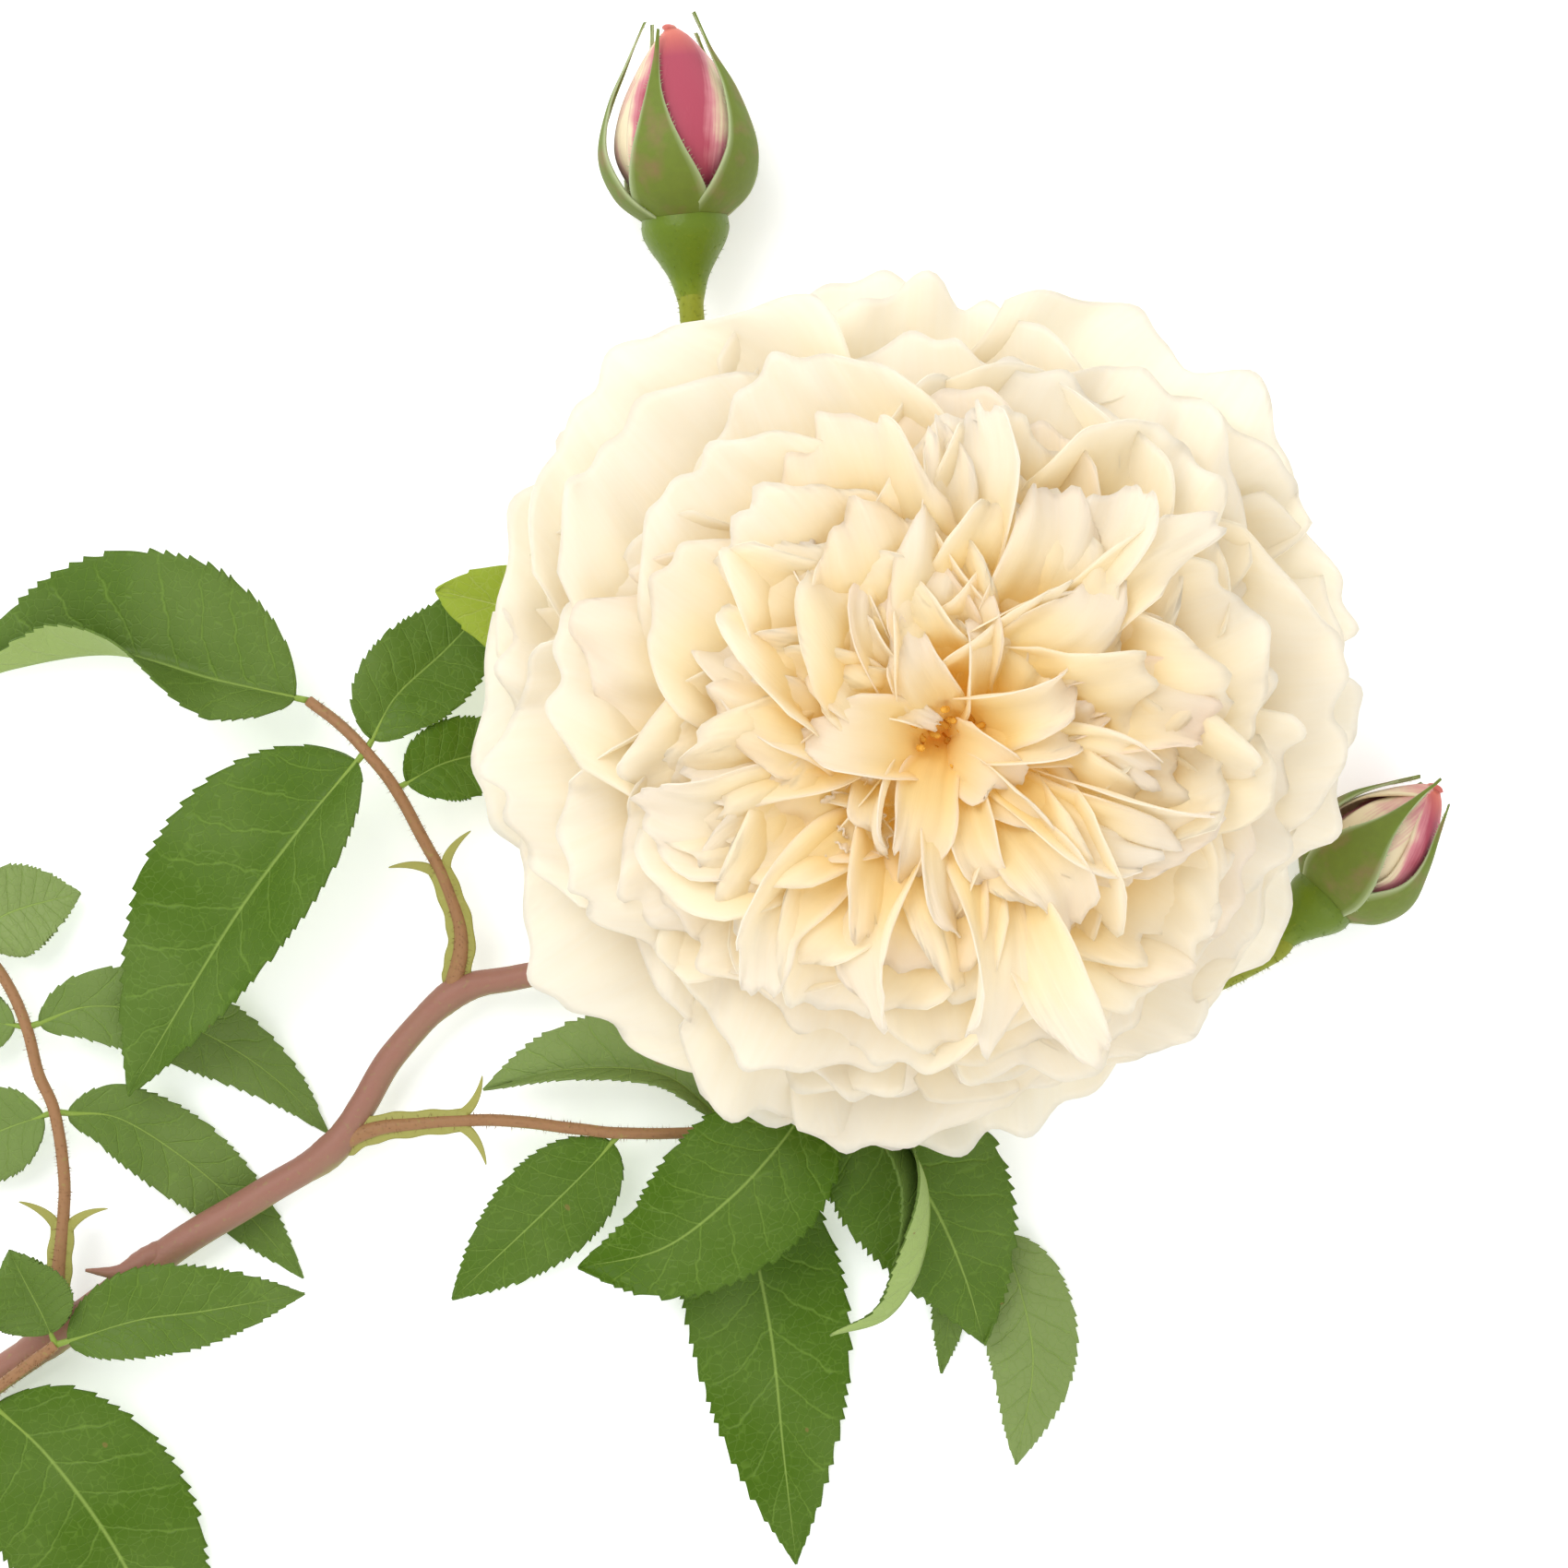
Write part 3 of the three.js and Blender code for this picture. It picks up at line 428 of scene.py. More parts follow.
# Heart petals, each from its foot to its tip as millimetres from the heart (x right, y up the stem, z out of the
# bloom): foot, tip, rise of the middle, half width, cup, fold, roll, blush
heart = rim + bloomPlace["heart"] * axis
heartTable = [
    ((-3.5, 0.8, 2), (-13.6, 10.0, 11), 2.5, 2.9, 30, 0.0, 0, 0.3),
    ((-8.0, -1.0, 3), (-23.2, 4.4, 10), 2.5, 3.4, 40, 0.1, 10, 0.3),
    ((-1.2, -0.8, 3), (-14.0, 0.6, 10), 2.2, 4.0, 50, 0.0, -12, 0.4),
    ((-3.6, -2.4, 1), (-7.2, -13.6, 9.5), 3.0, 2.4, 55, 0.2, 66, 0.3),
    ((0.4, -1.2, 2), (-3.8, -16.6, 9), 3.0, 2.9, 24, 0.0, 8, 0.5),
    ((1.2, -1.6, 3), (8.8, -5.6, 9.5), 2.0, 3.5, 34, 0.0, 0, 0.5),
    ((3.2, -4.0, 1), (8.0, -17.0, 9), 2.5, 2.5, 50, 0.3, -20, 0.3),
    ((-8.6, 4.4, 6), (0.8, 0.8, 8.0), 1.0, 1.3, 40, 0.0, 0, 0.2),
    ((-3.0, 2.0, 1), (-9.8, 15.0, 10.5), 2.2, 2.5, 45, 0.1, 18, 0.2),
    ((1.6, 1.4, 1), (-3.4, 11.4, 11), 2.0, 2.9, 50, 0.0, -20, 0.3),
    ((3.2, 2.4, 1), (3.6, 14.2, 11.5), 2.0, 3.5, 78, 0.1, 34, 0.3),
    ((-2.0, 3.4, 1), (-6.6, 17.6, 11.5), 2.0, 3.3, 70, 0.2, 40, 0.7),
    ((1.0, 4.0, 1), (-4.4, 21.2, 11.5), 2.6, 3.6, 60, 0.1, 0, 0.8),
    ((2.6, 4.4, 1), (3.8, 20.4, 12), 2.4, 4.2, 64, 0.0, 16, 0.5),
    ((0.4, 6.0, 0), (0.4, 26.2, 11), 2.6, 4.6, 40, 0.0, 0, 0.2),
    ((-3.0, 8.0, 0), (-1.0, 34.4, 10), 3.2, 3.0, 62, 0.4, 34, 0.3),
    ((1.0, 9.0, 0), (4.6, 36.4, 10), 3.2, 3.4, 50, 0.3, -26, 0.2),
    ((-7.0, 4.0, 1), (-14.6, 21.0, 10), 2.6, 3.0, 66, 0.4, 10, 0.3),
    ((-5.0, 5.0, 0), (-11.6, 18.6, 11), 2.2, 2.7, 66, 0.3, -30, 0.2),
    ((3.4, 3.6, 2), (19.0, 14.2, 11), 2.6, 3.0, 84, 0.4, 8, 0.2),
    ((3.2, 6.0, 2), (18.6, 18.0, 12), 3.2, 3.8, 60, 0.1, 26, 0.3),
    ((3.0, 2.4, 3), (14.8, 6.6, 12), 3.0, 4.0, 88, 0.0, 14, 0.5),
    ((3.4, 0.6, 2), (15.6, 1.6, 10), 2.8, 3.4, 80, 0.1, -24, 0.4),
    ((8.0, 4.6, 3), (30.8, 23.0, 9.5), 3.4, 3.3, 60, 0.45, 20, 0.1),
    ((4.4, 8.6, 1), (12.6, 27.0, 10.5), 3.0, 4.6, 60, 0.1, 24, 0.4),
    ((6.0, 8.0, 1), (20.4, 27.6, 9.5), 2.6, 4.0, 60, 0.2, -16, 0.2),
    ((7.0, 1.6, 2), (18.8, 4.2, 10), 1.6, 2.4, 90, 0.1, 0, 0.9),
    ((8.0, 2.4, 2), (22.6, 6.2, 9), 1.6, 2.6, 90, 0.1, 20, 0.7),
    ((9.0, 0.6, 1), (31.0, 1.4, 7.5), 2.4, 4.2, 70, 0.0, 0, 1.0),
    ((4.4, -0.8, 2), (24.0, -4.6, 9.5), 2.6, 2.4, 60, 0.4, 24, 0.3),
    ((4.6, -2.4, 2), (23.4, -12.8, 9), 2.6, 2.6, 56, 0.4, -10, 0.2),
    ((6.0, -4.0, 1), (27.0, -13.4, 8), 2.4, 3.2, 60, 0.3, 30, 0.3),
    ((7.0, -6.0, 0), (30.6, -10.6, 8), 2.0, 4.6, 84, 0.1, 20, 0.5),
    ((4.0, -6.0, 0), (14.4, -22.0, 9), 2.8, 3.2, 60, 0.4, 20, 0.3),
    ((3.0, -7.0, 0), (3.6, -33.4, 7.5), 3.6, 3.7, 56, 0.4, -24, 0.2),
    ((7.0, -8.0, 0), (18.2, -35.0, 6.5), 3.4, 3.3, 60, 0.5, 30, 0.2),
    ((0.0, -7.0, 0), (-5.6, -32.0, 8), 3.0, 3.2, 60, 0.4, 24, 0.3),
    ((-4.0, -8.0, 0), (-20.6, -28.6, 7.5), 3.2, 3.6, 62, 0.4, -30, 0.2),
    ((-6.0, 0.0, 1), (-27.0, -4.4, 8.5), 2.8, 3.8, 54, 0.3, 20, 0.2),
    ((-6.0, -3.0, 0), (-33.0, -7.6, 7.5), 3.0, 4.4, 56, 0.2, -22, 0.3),
    ((-6.0, -5.0, 0), (-26.0, -17.0, 8), 2.8, 4.0, 60, 0.3, 12, 0.3),
    ((-6.0, 3.0, 0), (-26.0, 12.0, 8.5), 2.8, 4.6, 50, 0.2, -16, 0.2),
    ((-5.0, 5.0, 0), (-21.0, 18.0, 8.5), 2.8, 4.6, 56, 0.2, 14, 0.2),
    ((3.0, -3.0, 0), (12.6, -12.4, 9.5), 2.2, 2.6, 66, 0.3, 26, 0.2),
    ((1.4, -5.0, 0), (2.4, -21.0, 9), 2.6, 2.8, 66, 0.4, -34, 0.4),
]
# The small second rosette in the bloom's heart: centre, and rings of how many, first angle, radius, height
rosette = {
    "center": (-9.4, -8.8, 3.0), "half": 3.4, "seed": 5,
    "rings": [(2, 40, 1.2, 6.0), (3, 10, 2.6, 6.6), (4, 60, 4.2, 6.2), (5, 20, 6.2, 4.6)],
}

rng = np.random.default_rng(23)
parts = []
for foot, tip, rise, half, cup, fold, roll, blush in heartTable:
    foot, tip = np.array(foot, float), np.array(tip, float)
    step = tip - foot
    flat = unit(np.array([step[0], step[1], 0]))
    bow = np.array([-flat[1], flat[0], 0]) * rng.uniform(-1, 1) * 0.15 * np.linalg.norm(step)
    middle = [
        foot + step * 0.3 + [0, 0, rise + step[2] * 0.25] + bow * 0.7,
        foot + step * 0.68 + [0, 0, rise * 1.1 + step[2] * 0.2] + bow,
    ]
    path = np.array([foot - [0, 0, 9] - flat * 0.5, foot, *middle, tip]) + heart
    across = np.array([-flat[1], flat[0], 0])
    long = np.hypot(step[0], step[1]) > 16
    wide = 1.3 if long else 1.2
    look = {
        "half": half * wide, "cup": cup * (0.55 if long else 0.85), "fold": fold * 0.4, "roll": roll * 0.8,
        "twist": rng.uniform(-34, 34), "ruffle": 0.8 if long else 0.5,
        "flute": 0.5 if long else 0.32, "uneven": 0.09, "waves": rng.uniform(3, 5),
        "warm": float(np.clip(0.5 - 0.008 * np.hypot(tip[0], tip[1]), 0.2, 0.4)), "blush": blush,
        "drop": rng.uniform(0.14, 0.3), "tipCurl": rng.uniform(-1.6, 2.6), "sideCurl": rng.uniform(-0.8, 1.2),
        "crinkle": 0.12, "notch": max(0, rng.uniform(-0.06, 0.07)), "pleat": 0.08,
        "point": rng.uniform(-0.01, 0.02), "tipTurn": rng.uniform(-0.05, 0.05),
        "outline": (0.25, 0.45, 0.72, 0.92, 1.02, 1.02, 0.9), "rows": 30, "cols": 21,
    }
    parts.append(petalPart(path, across, look, rng))
rng = np.random.default_rng(rosette["seed"])
center = heart + np.array(rosette["center"])
for count, first, radius, height in rosette["rings"]:
    for i in range(count):
        a = np.radians(first + 360 / count * i + rng.uniform(-12, 12))
        out = np.array([np.cos(a), np.sin(a), 0])
        middle, tip = out * radius * 0.95 + [0, 0, height * 0.7], out * radius * 1.05 + [0, 0, height]
        path = center + np.array([[0, 0, -6], out * 0.5 * radius, middle, tip])
        look = {
            "half": rosette["half"] * (0.55 + 0.1 * radius), "cup": 88, "fold": 0.0,
            "roll": rng.uniform(-14, 14), "ruffle": 0.25, "warm": 0.42, "blush": 0.5, "tipCurl": 0.7,
            "sideCurl": 0.1, "drop": 0.2, "pleat": 0.04, "outline": (0.2, 0.5, 0.8, 1.0, 1.0, 0.9, 0.7),
        }
        parts.append(petalPart(path, np.array([-np.sin(a), np.cos(a), 0]), look, rng))
# The petals' claws are fused to one golden column under the heart, which closes the gaps between them; seen
# through them, its glowing gold is painted light where the heart's depth would be in shade
clawProfile = [(2, 3), (8, 9), (15, 15.5), (16.5, 17.6), (14, 19), (6, 20), (0.4, 20)]
claws = turnedPart(clawProfile, rim, axis, bloomX, 30, 60)
# Low on the petals' colour ramp, the column is gold and carries their painted glow at full strength
clawValues = {"along": 0.35, "warm": 1.0, "blush": 0.0, "edge": 0.0}
claws["values"] = {key: np.full(len(claws["points"]), value) for key, value in clawValues.items()}
parts.append(claws)
makePiece("heartPetals", parts, [heartSkin], ["heart_petals"], 0.2)
print("stage: heartPetals", len(parts), "petals")

# Rose wood, first-year bark: smooth, so it has a soft even shine, mauve-pink where the sun reached it,
# greener below, with pale specks. Stalks are softer and greener. Sizes of patterns are in mm
stemLook = {
    "wood": ("#96695A", "#92705A", "#8F8D52"), "stalk": ("#878F24", "#878F24", "#939F42"),
    "leafStalk": ("#98704C", "#98704C", "#8F9648"), "wing": ("#9C9A50", "#9C9A50", "#B0AC68"),
    "rib": ("#80993C", "#80993C", "#93AA58"), "cloud": 5.55, "speck": 0.714,
}


# Three colours: the side turned to the sun, the side between, and the side turned away
def stemMaterial(name, colors, rough):
    sunny, between, shaded = colors
    material, tree = newMaterial(name)
    facing = node(tree, "Attribute", {"attribute_name": "topSide"}, "Fac")
    here = node(tree, "TexCoord", {}, "Object")
    cloud = node(tree, "TexNoise", {"Scale": 1 / (stemLook["cloud"] * mm), "Detail": 4.0, "Vector": here})
    speck = node(tree, "TexNoise", {"Scale": 1 / (stemLook["speck"] * mm), "Detail": 2.0, "Vector": here})
    share = node(tree, "MapRange", {0: wandering(tree, facing, cloud, 1.6), 1: -0.9, 2: 0.9})
    color = node(tree, "ValToRGB", {"stops": [(0.05, shaded), (0.95, sunny), (0.45, between)], 0: share})
    fleck = node(tree, "MapRange", {0: speck, 1: 0.62, 2: 0.74, 3: 0.0, 4: 0.35})
    color = node(tree, "Mix", {"data_type": "RGBA", 0: fleck, 6: color, 7: shaded}, 2)
    bump = node(tree, "Bump", {"Strength": 0.35, "Distance": 0.2 * mm, "Height": speck})
    closeMaterial(tree, color, bump, rough)
    return material


woodSkin = stemMaterial("rose wood, smooth young bark", stemLook["wood"], 0.5)
stalkSkin = stemMaterial("flower stalk, green and soft", stemLook["stalk"], 0.5)
wingSkin = stemMaterial("stipule, thin and yellow-green", stemLook["wing"], 0.55)
ribSkin = stemMaterial("leaf midrib, pale green", stemLook["rib"], 0.5)
leafStalkSkin = stemMaterial("leaf stalk, tanned by the sun", stemLook["leafStalk"], 0.55)

stemShape = {
    "floorToStem": 2.95, "radius": 2.05, "taper": (1.0, 0.93, 0.82, 0.72, 0.64), "knuckle": 2.4,
    "path": [
        (-118, -83.5, 0), (-110.5, -77.5, 0.2), (-100.5, -70.5, 0.5), (-89, -62, 0.8), (-78.5, -55.5, 1.1),
        (-70.5, -50.5, 1.3), (-66.5, -45, 1.5), (-62.5, -38.5, 1.8), (-55.5, -31.5, 2.1), (-48, -29.5, 2.3),
        (-40, -28, 2.4), (-26, -24, 2.6), (-12.5, -16.5, 2.8),
    ],
    "scale": [(-88.5, -61.5, 0.6), (-92, -63.2, 1.2), (-95.5, -64.8, 1.8), (-99.5, -64.5, 2.6)],
    "knots": [(0.6415, 1.86), (0.4515, 2.02), (0.1405, 2.26)],  # share of the stem's length, and radius
}
stemPath = np.array(stemShape["path"], float) + [0, 0, stemShape["floorToStem"]]
topFork = stemPath[-1]
scalePath = np.array(stemShape["scale"], float) + [0, 0, stemShape["floorToStem"]]
stemLine = curveThrough(stemPath, 400)


def stemAt(share):
    return stemLine[int(share * 399)]


# A swelling where a leaf springs runs along the stem itself, a little wider than it
def knot(share, radius):
    k = int(share * 399)
    path = stemLine[max(k - 18, 0) : min(k + 19, 400) : 3]
    return tubePart(path, (radius * 0.8, radius * 0.9, radius, radius * 0.9, radius * 0.78), 28, 22, 0.02, 3)


parts = [tubePart(stemPath, [stemShape["radius"] * k for k in stemShape["taper"]], 40, 320, 0.035, 1)]
knuckle = [(0.2, -3.4), (1.9, -2.0), (stemShape["knuckle"], 0), (1.9, 2.0), (0.2, 3.4)]
parts.append(turnedPart(knuckle, topFork, [1, 0.8, 0], [0, 0, 1.0], 18, 28))
for share, radius in stemShape["knots"]:
    parts.append(knot(share, radius))
parts.append(tubePart(scalePath, (1.2, 1.6, 0.9, 0.18), 16, 26, 0.05, 4))
makePiece("mainStem", parts, [woodSkin], ["main_stem"])
print("stage: mainStem")

stalkTable = [
    ("bloomStalk", "bloom_stalk", [(3.5, 4.5, 5.6), (8, 12.5, 6.4)], (1, 1, 1.15)),
    ("upperBudStalk", "upper_bud_stalk", [(-4, 11, 5), (-9.5, 26, 4.2), (-13, 46, 4.8)], (0.9, 0.9, 1, 1.1)),
    ("sideBudStalk", "side_bud_stalk", [(9, -7, 4.6), (24, -15, 3.4), (40, -16.5, 3.8)], (0.9, 0.85, 0.85, 1)),
]
stalkLook = {"radius": 1.35, "bristles": 7.0, "bristleLength": 0.7, "bristleRadius": 0.045}
budTable = {
    "upper": {
        "base": (-27.2, 53, 9.3), "way": (-0.075, 1, 0.015), "size": 1.0,
        "first": -14, "seed": 3, "sepalHalf": 4.9,
    },
    "side": {
        "base": (44, -24.2, 7.7), "way": (0.71, 0.7, 0.012), "size": 0.8144,
        "first": 58, "seed": 8, "sepalHalf": 6.0,
    },
}
budShape = {
    "hip": [
        (1.2, -4.6), (1.36, -3.2), (1.7, -1.6), (2.35, 0.6), (3.45, 2.6), (4.6, 4.5), (5.2, 6.1), (5.15, 7.5),
        (5.0, 8.2), (4.6, 8.6),
    ],
    "sepal": [(4.5, 7.6), (7.7, 10.6), (9.3, 15.5), (7.9, 21.5), (5.3, 27), (3.4, 31.5)],
    "flush": (1.0, 0.5, 0.34, 0.25, 0.8, 0.6, 0.7),  # how sunburnt each petal is, the outermost first
    "outline": (0.62, 0.9, 1.0, 1.0, 0.9, 0.7, 0.42), "half": 8.2,
    "core": [(3.6, 8.3), (6.5, 11.4), (8.2, 15.6), (7.2, 20.6), (4.7, 25.4), (2.2, 28.8), (0.7, 30.0)],
}
calyxShape = {
    "hip": [(1.5, -12.4), (1.8, -12), (3.4, -10.8), (5.3, -7.6), (5.6, -4.6), (5, -2.4), (5.2, -0.8)],
    "sepal": [(4.4, -1.5), (9, -0.3), (15, 0.2), (21, -2), (27, -7)],
    "sepalHalf": 3.4, "first": 45,
}
sepalOutline = (0.84, 0.98, 0.9, 0.66, 0.4, 0.21, 0.1, 0.04, 0.01)

# Colours of the buds, from the hip up to the petals' tips. Sizes of patterns are in mm
budLook = {
    "hip": ("#637A18", "#71851C", "#878F24"), "down": "#7A9030", "sepal": "#6F7F2E", "sepalRed": "#9A6B5A",
    "sepalRim": "#C3CFA0", "magenta": "#B64C60", "cream": "#F3E2BC", "coral": "#E98268", "pink": "#D98A92",
    "sepalCloud": 3.85, "sepalDown": 0.91, "petalCloud": 6.25, "petalVeins": 34.0,
}


# Sepal, grown: leaf-like and covered in short down, so it is matt, with pale margins and sunburnt patches
def sepalMaterial():
    look = budLook
    material, tree = newMaterial("sepal, green and downy")
    here = node(tree, "TexCoord", {}, "Object")
    cloud = node(tree, "TexNoise", {"Scale": 1 / (look["sepalCloud"] * mm), "Detail": 4.0, "Vector": here})
    down = node(tree, "TexNoise", {"Scale": 1 / (look["sepalDown"] * mm), "Detail": 2.0, "Vector": here})
    margin = node(tree, "Attribute", {"attribute_name": "blush"}, "Fac")
    red = node(tree, "MapRange", {0: cloud, 1: 0.5, 2: 0.72, 3: 0.0, 4: 0.55})
    color = node(tree, "Mix", {"data_type": "RGBA", 0: red, 6: look["sepal"], 7: look["sepalRed"]}, 2)
    grain = node(tree, "MapRange", {0: down, 1: 0.4, 2: 0.7, 3: 0.0, 4: 0.25})
    color = node(tree, "Mix", {"data_type": "RGBA", 0: grain, 6: color, 7: look["down"]}, 2)
    color = node(tree, "Mix", {"data_type": "RGBA", 0: margin, 6: color, 7: look["sepalRim"]}, 2)
    bump = node(tree, "Bump", {"Strength": 0.3, "Distance": 0.2 * mm, "Height": down})
    closeMaterial(tree, color, bump, 0.6, 0.1)
    return material


# Bud petal, tightly furled: smoother than an open one, magenta where the sun reached it, cream along the
# margins that were covered, and coral at the tip
def budPetalMaterial():
    look = budLook
    material, tree = newMaterial("bud petal, furled and sun-flushed")
    along = node(tree, "Attribute", {"attribute_name": "along"}, "Fac")
    sun = node(tree, "Attribute", {"attribute_name": "blush"}, "Fac")
    here = node(tree, "TexCoord", {}, "Object")
    cloud = node(tree, "TexNoise", {"Scale": 1 / (look["petalCloud"] * mm), "Detail": 4.0, "Vector": here})
    uv = node(tree, "UVMap", {"uv_map": "grain"})
    lines = node(tree, "Mapping", {"Scale": (3.0, look["petalVeins"], 1.0), "Vector": uv})
    vein = node(tree, "TexNoise", {"Scale": 1.0, "Detail": 2.0, "Vector": lines})
    share = wandering(tree, wandering(tree, sun, cloud, 0.9), vein, 0.5)
    stops = [(0.2, look["cream"]), (0.85, look["magenta"]), (0.5, look["pink"])]
    color = node(tree, "ValToRGB", {"stops": stops, 0: share})
    tip = node(tree, "MapRange", {0: along, 1: 0.8, 2: 1.0, 3: 0.0, 4: 0.9})
    tip = node(tree, "Math", {"operation": "MULTIPLY", 0: tip, 1: sun})
    color = node(tree, "Mix", {"data_type": "RGBA", 0: tip, 6: color, 7: look["coral"]}, 2)
    bump = node(tree, "Bump", {"Strength": 0.25, "Distance": 0.2 * mm, "Height": vein})
    closeMaterial(tree, color, bump, 0.5, 0.12, None, {"Sheen Weight": 0.1, "Sheen Roughness": 0.5})
    return material


sepalSkin = sepalMaterial()
budPetalSkin = budPetalMaterial()
hipSkin = stemMaterial("rose hip, waxy green", budLook["hip"], 0.38)


# The local frame of a bud: z along it, x towards the sky, y to its right
def budFrame(base, way):
    z = unit(np.array(way, float))
    x = unit(np.array([0, 0, 1.0]) - z * z[2])
    return np.array(base, float), x, np.cross(z, x), z


def inFrame(place, points):
    base, x, y, z = place
    p = np.asarray(points, float)
    return base + p[..., :1] * x + p[..., 1:2] * y + p[..., 2:] * z


# Sepals and bud petals follow a profile of radius and height at one angle round the axis, and wrap it:
# across the rib the angle grows by s / radius, so the sheet stays on the turned shape
def wrappedPart(place, profile, angle, half, outline, look, rng):
    line = curveThrough(profile, 48)
    rows, cols = look["rows"], look["cols"]
    t = np.linspace(0, 1, rows)[:, None]
    w = np.linspace(-1, 1, cols)[None, :]
    r = np.interp(t, np.linspace(0, 1, 48), line[:, 0]) + look["lift"] + look["spiral"] * w * (1 - t * 0.4)
    h = np.interp(t, np.linspace(0, 1, 48), line[:, 1]) - look["drop"] * np.abs(w) ** 2 * t**3
    s = w * half * shareCurve(outline, t)
    wave = rng.uniform(0, 6.28, 3)
    r = r + look["ruffle"] * np.abs(w) ** 3 * np.sin(9 * t + wave[0] + w) + look["edgeOut"] * w**2 * t
    h = h + look["ruffle"] * w**2 * np.sin(11 * t + wave[1])
    limit = np.maximum(np.abs(r), 0.6)
    a = np.radians(angle) + np.clip(s / limit, -2.2, 2.2) + np.radians(look["spin"]) * t**2
    points = inFrame(place, np.stack([r * np.cos(a), r * np.sin(a), h + 0 * w], axis=-1))
    edge = np.clip((np.abs(w) - look["rimFrom"]) / (1 - look["rimFrom"]), 0, 1) ** 2 + 0 * t
    return points, t, w, edge


# Five sepals round the axis, the first at its own angle, and short hairs along both their margins
def sepalParts(place, profile, half, first, size, rng, rimHairs):
    parts, hairs = [], []
    profile = np.array(profile, float) * size
    towardsTip = np.linspace(0, 1, len(profile))[:, None] ** 3
    for i in range(5):
        look = {
            "rows": 60, "cols": 17, "lift": 0.35, "spiral": 0.0, "drop": 0.0, "ruffle": 0.18, "edgeOut": -0.2,
            "spin": rng.uniform(-10, 10), "rimFrom": 0.72,
        }
        bent = profile + towardsTip * [rng.uniform(-1.2, 1.2), rng.uniform(-2.2, 0.4)]
        points, t, w, edge = wrappedPart(place, bent, first + 72 * i, half * size, sepalOutline, look, rng)
        parts.append(part(points, t, w * 0.5 + 0.5, False, {"blush": edge * 0.8}))
        for column in (0, -1):
            run = rng.integers(2, 58, rimHairs)
            roots, middle, ahead = points[run, column], points[run, 8], points[run + 1, column]
            away = unit(roots - middle) + unit(ahead - roots) * 0.6 + rng.normal(0, 0.3, (rimHairs, 3))
            hairs.append(hairPart(roots, away, rng.uniform(0.25, 0.7, rimHairs) * size, 0.035))
    return parts, hairs


# The hairs take the sepals' pale margin colour
def paleHairs(hairs):
    for h in hairs:
        h["values"] = {"blush": np.ones(len(h["points"]))}
    return hairs


for name, look in budTable.items():
    rng = np.random.default_rng(look["seed"])
    size = look["size"]
    place = budFrame(look["base"], look["way"])
    base, sky, right, way = place
    hip = turnedPart(np.array(budShape["hip"]) * size, base, way, sky, 44, 56)
    hip["values"]["topSide"] = np.repeat(np.clip(np.linspace(-1.6, 4, 44), -1, 1), 56)  # stalk colour at its foot
    roots = hip["points"].reshape(44, 56, 3)[rng.integers(8, 40, 120), rng.integers(0, 56, 120)]
    out = roots - base - np.outer((roots - base) @ way, way)
    hairs = [hairPart(roots, unit(out) + rng.normal(0, 0.3, out.shape), rng.uniform(0.3, 0.6, 120), 0.04)]
    makePiece(name + "BudHip", [hip] + hairs, [hipSkin], [])
    parts, hairs = sepalParts(place, budShape["sepal"], look["sepalHalf"], look["first"], size, rng, 60)
    makePiece(name + "BudSepals", parts, [sepalSkin], [name + "_bud_calyx"], 0.28)
    makePiece(name + "BudSepalHairs", paleHairs(hairs), [sepalSkin], [])
    parts = []
    for i, flush in enumerate(budShape["flush"]):
        petal = {
            "rows": 44, "cols": 33, "lift": 0.2 - 0.26 * i, "spiral": 0.3, "drop": 1.0, "ruffle": 0.14,
            "edgeOut": 0.0, "spin": 30 + rng.uniform(-8, 8), "rimFrom": 0.35,
        }
        core = np.array(budShape["core"]) * size - [0.12 * i, -0.1 * i]
        core[:, 0] = np.maximum(core[:, 0], 0.5)
        angle = look["first"] + 20 + 137.5 * i
        half = budShape["half"] * size * (1 - 0.04 * i)
        points, t, w, edge = wrappedPart(place, core, angle, half, budShape["outline"], petal, rng)
        pale = np.clip((w - 0.08) / 0.3, 0, 1) * np.clip((t - 0.12) / 0.3, 0, 1) * np.clip(1.6 - 1.2 * t, 0, 1)
        sun = flush * (1 - 0.8 * edge) * (1 - 0.85 * pale) * np.clip(t / 0.22, 0.2, 1)
        parts.append(part(points, t, w * 0.5 + 0.5, False, {"along": t, "blush": sun}))
    makePiece(name + "BudPetals", parts, [budPetalSkin], [name + "_bud_petals"], 0.3)
print("stage: buds")

bloomFrame = (rim, bloomX, bloomY, axis)
hip = turnedPart(calyxShape["hip"], rim, axis, bloomX, 40, 48)
makePiece("bloomHip", [hip], [hipSkin], ["bloom_calyx"])
rng = np.random.default_rng(4)
sepal, half, first = calyxShape["sepal"], calyxShape["sepalHalf"], calyxShape["first"]
parts, hairs = sepalParts(bloomFrame, sepal, half, first, 1.0, rng, 40)
makePiece("bloomSepals", parts, [sepalSkin], [], 0.45)
makePiece("bloomSepalHairs", paleHairs(hairs), [sepalSkin], [])

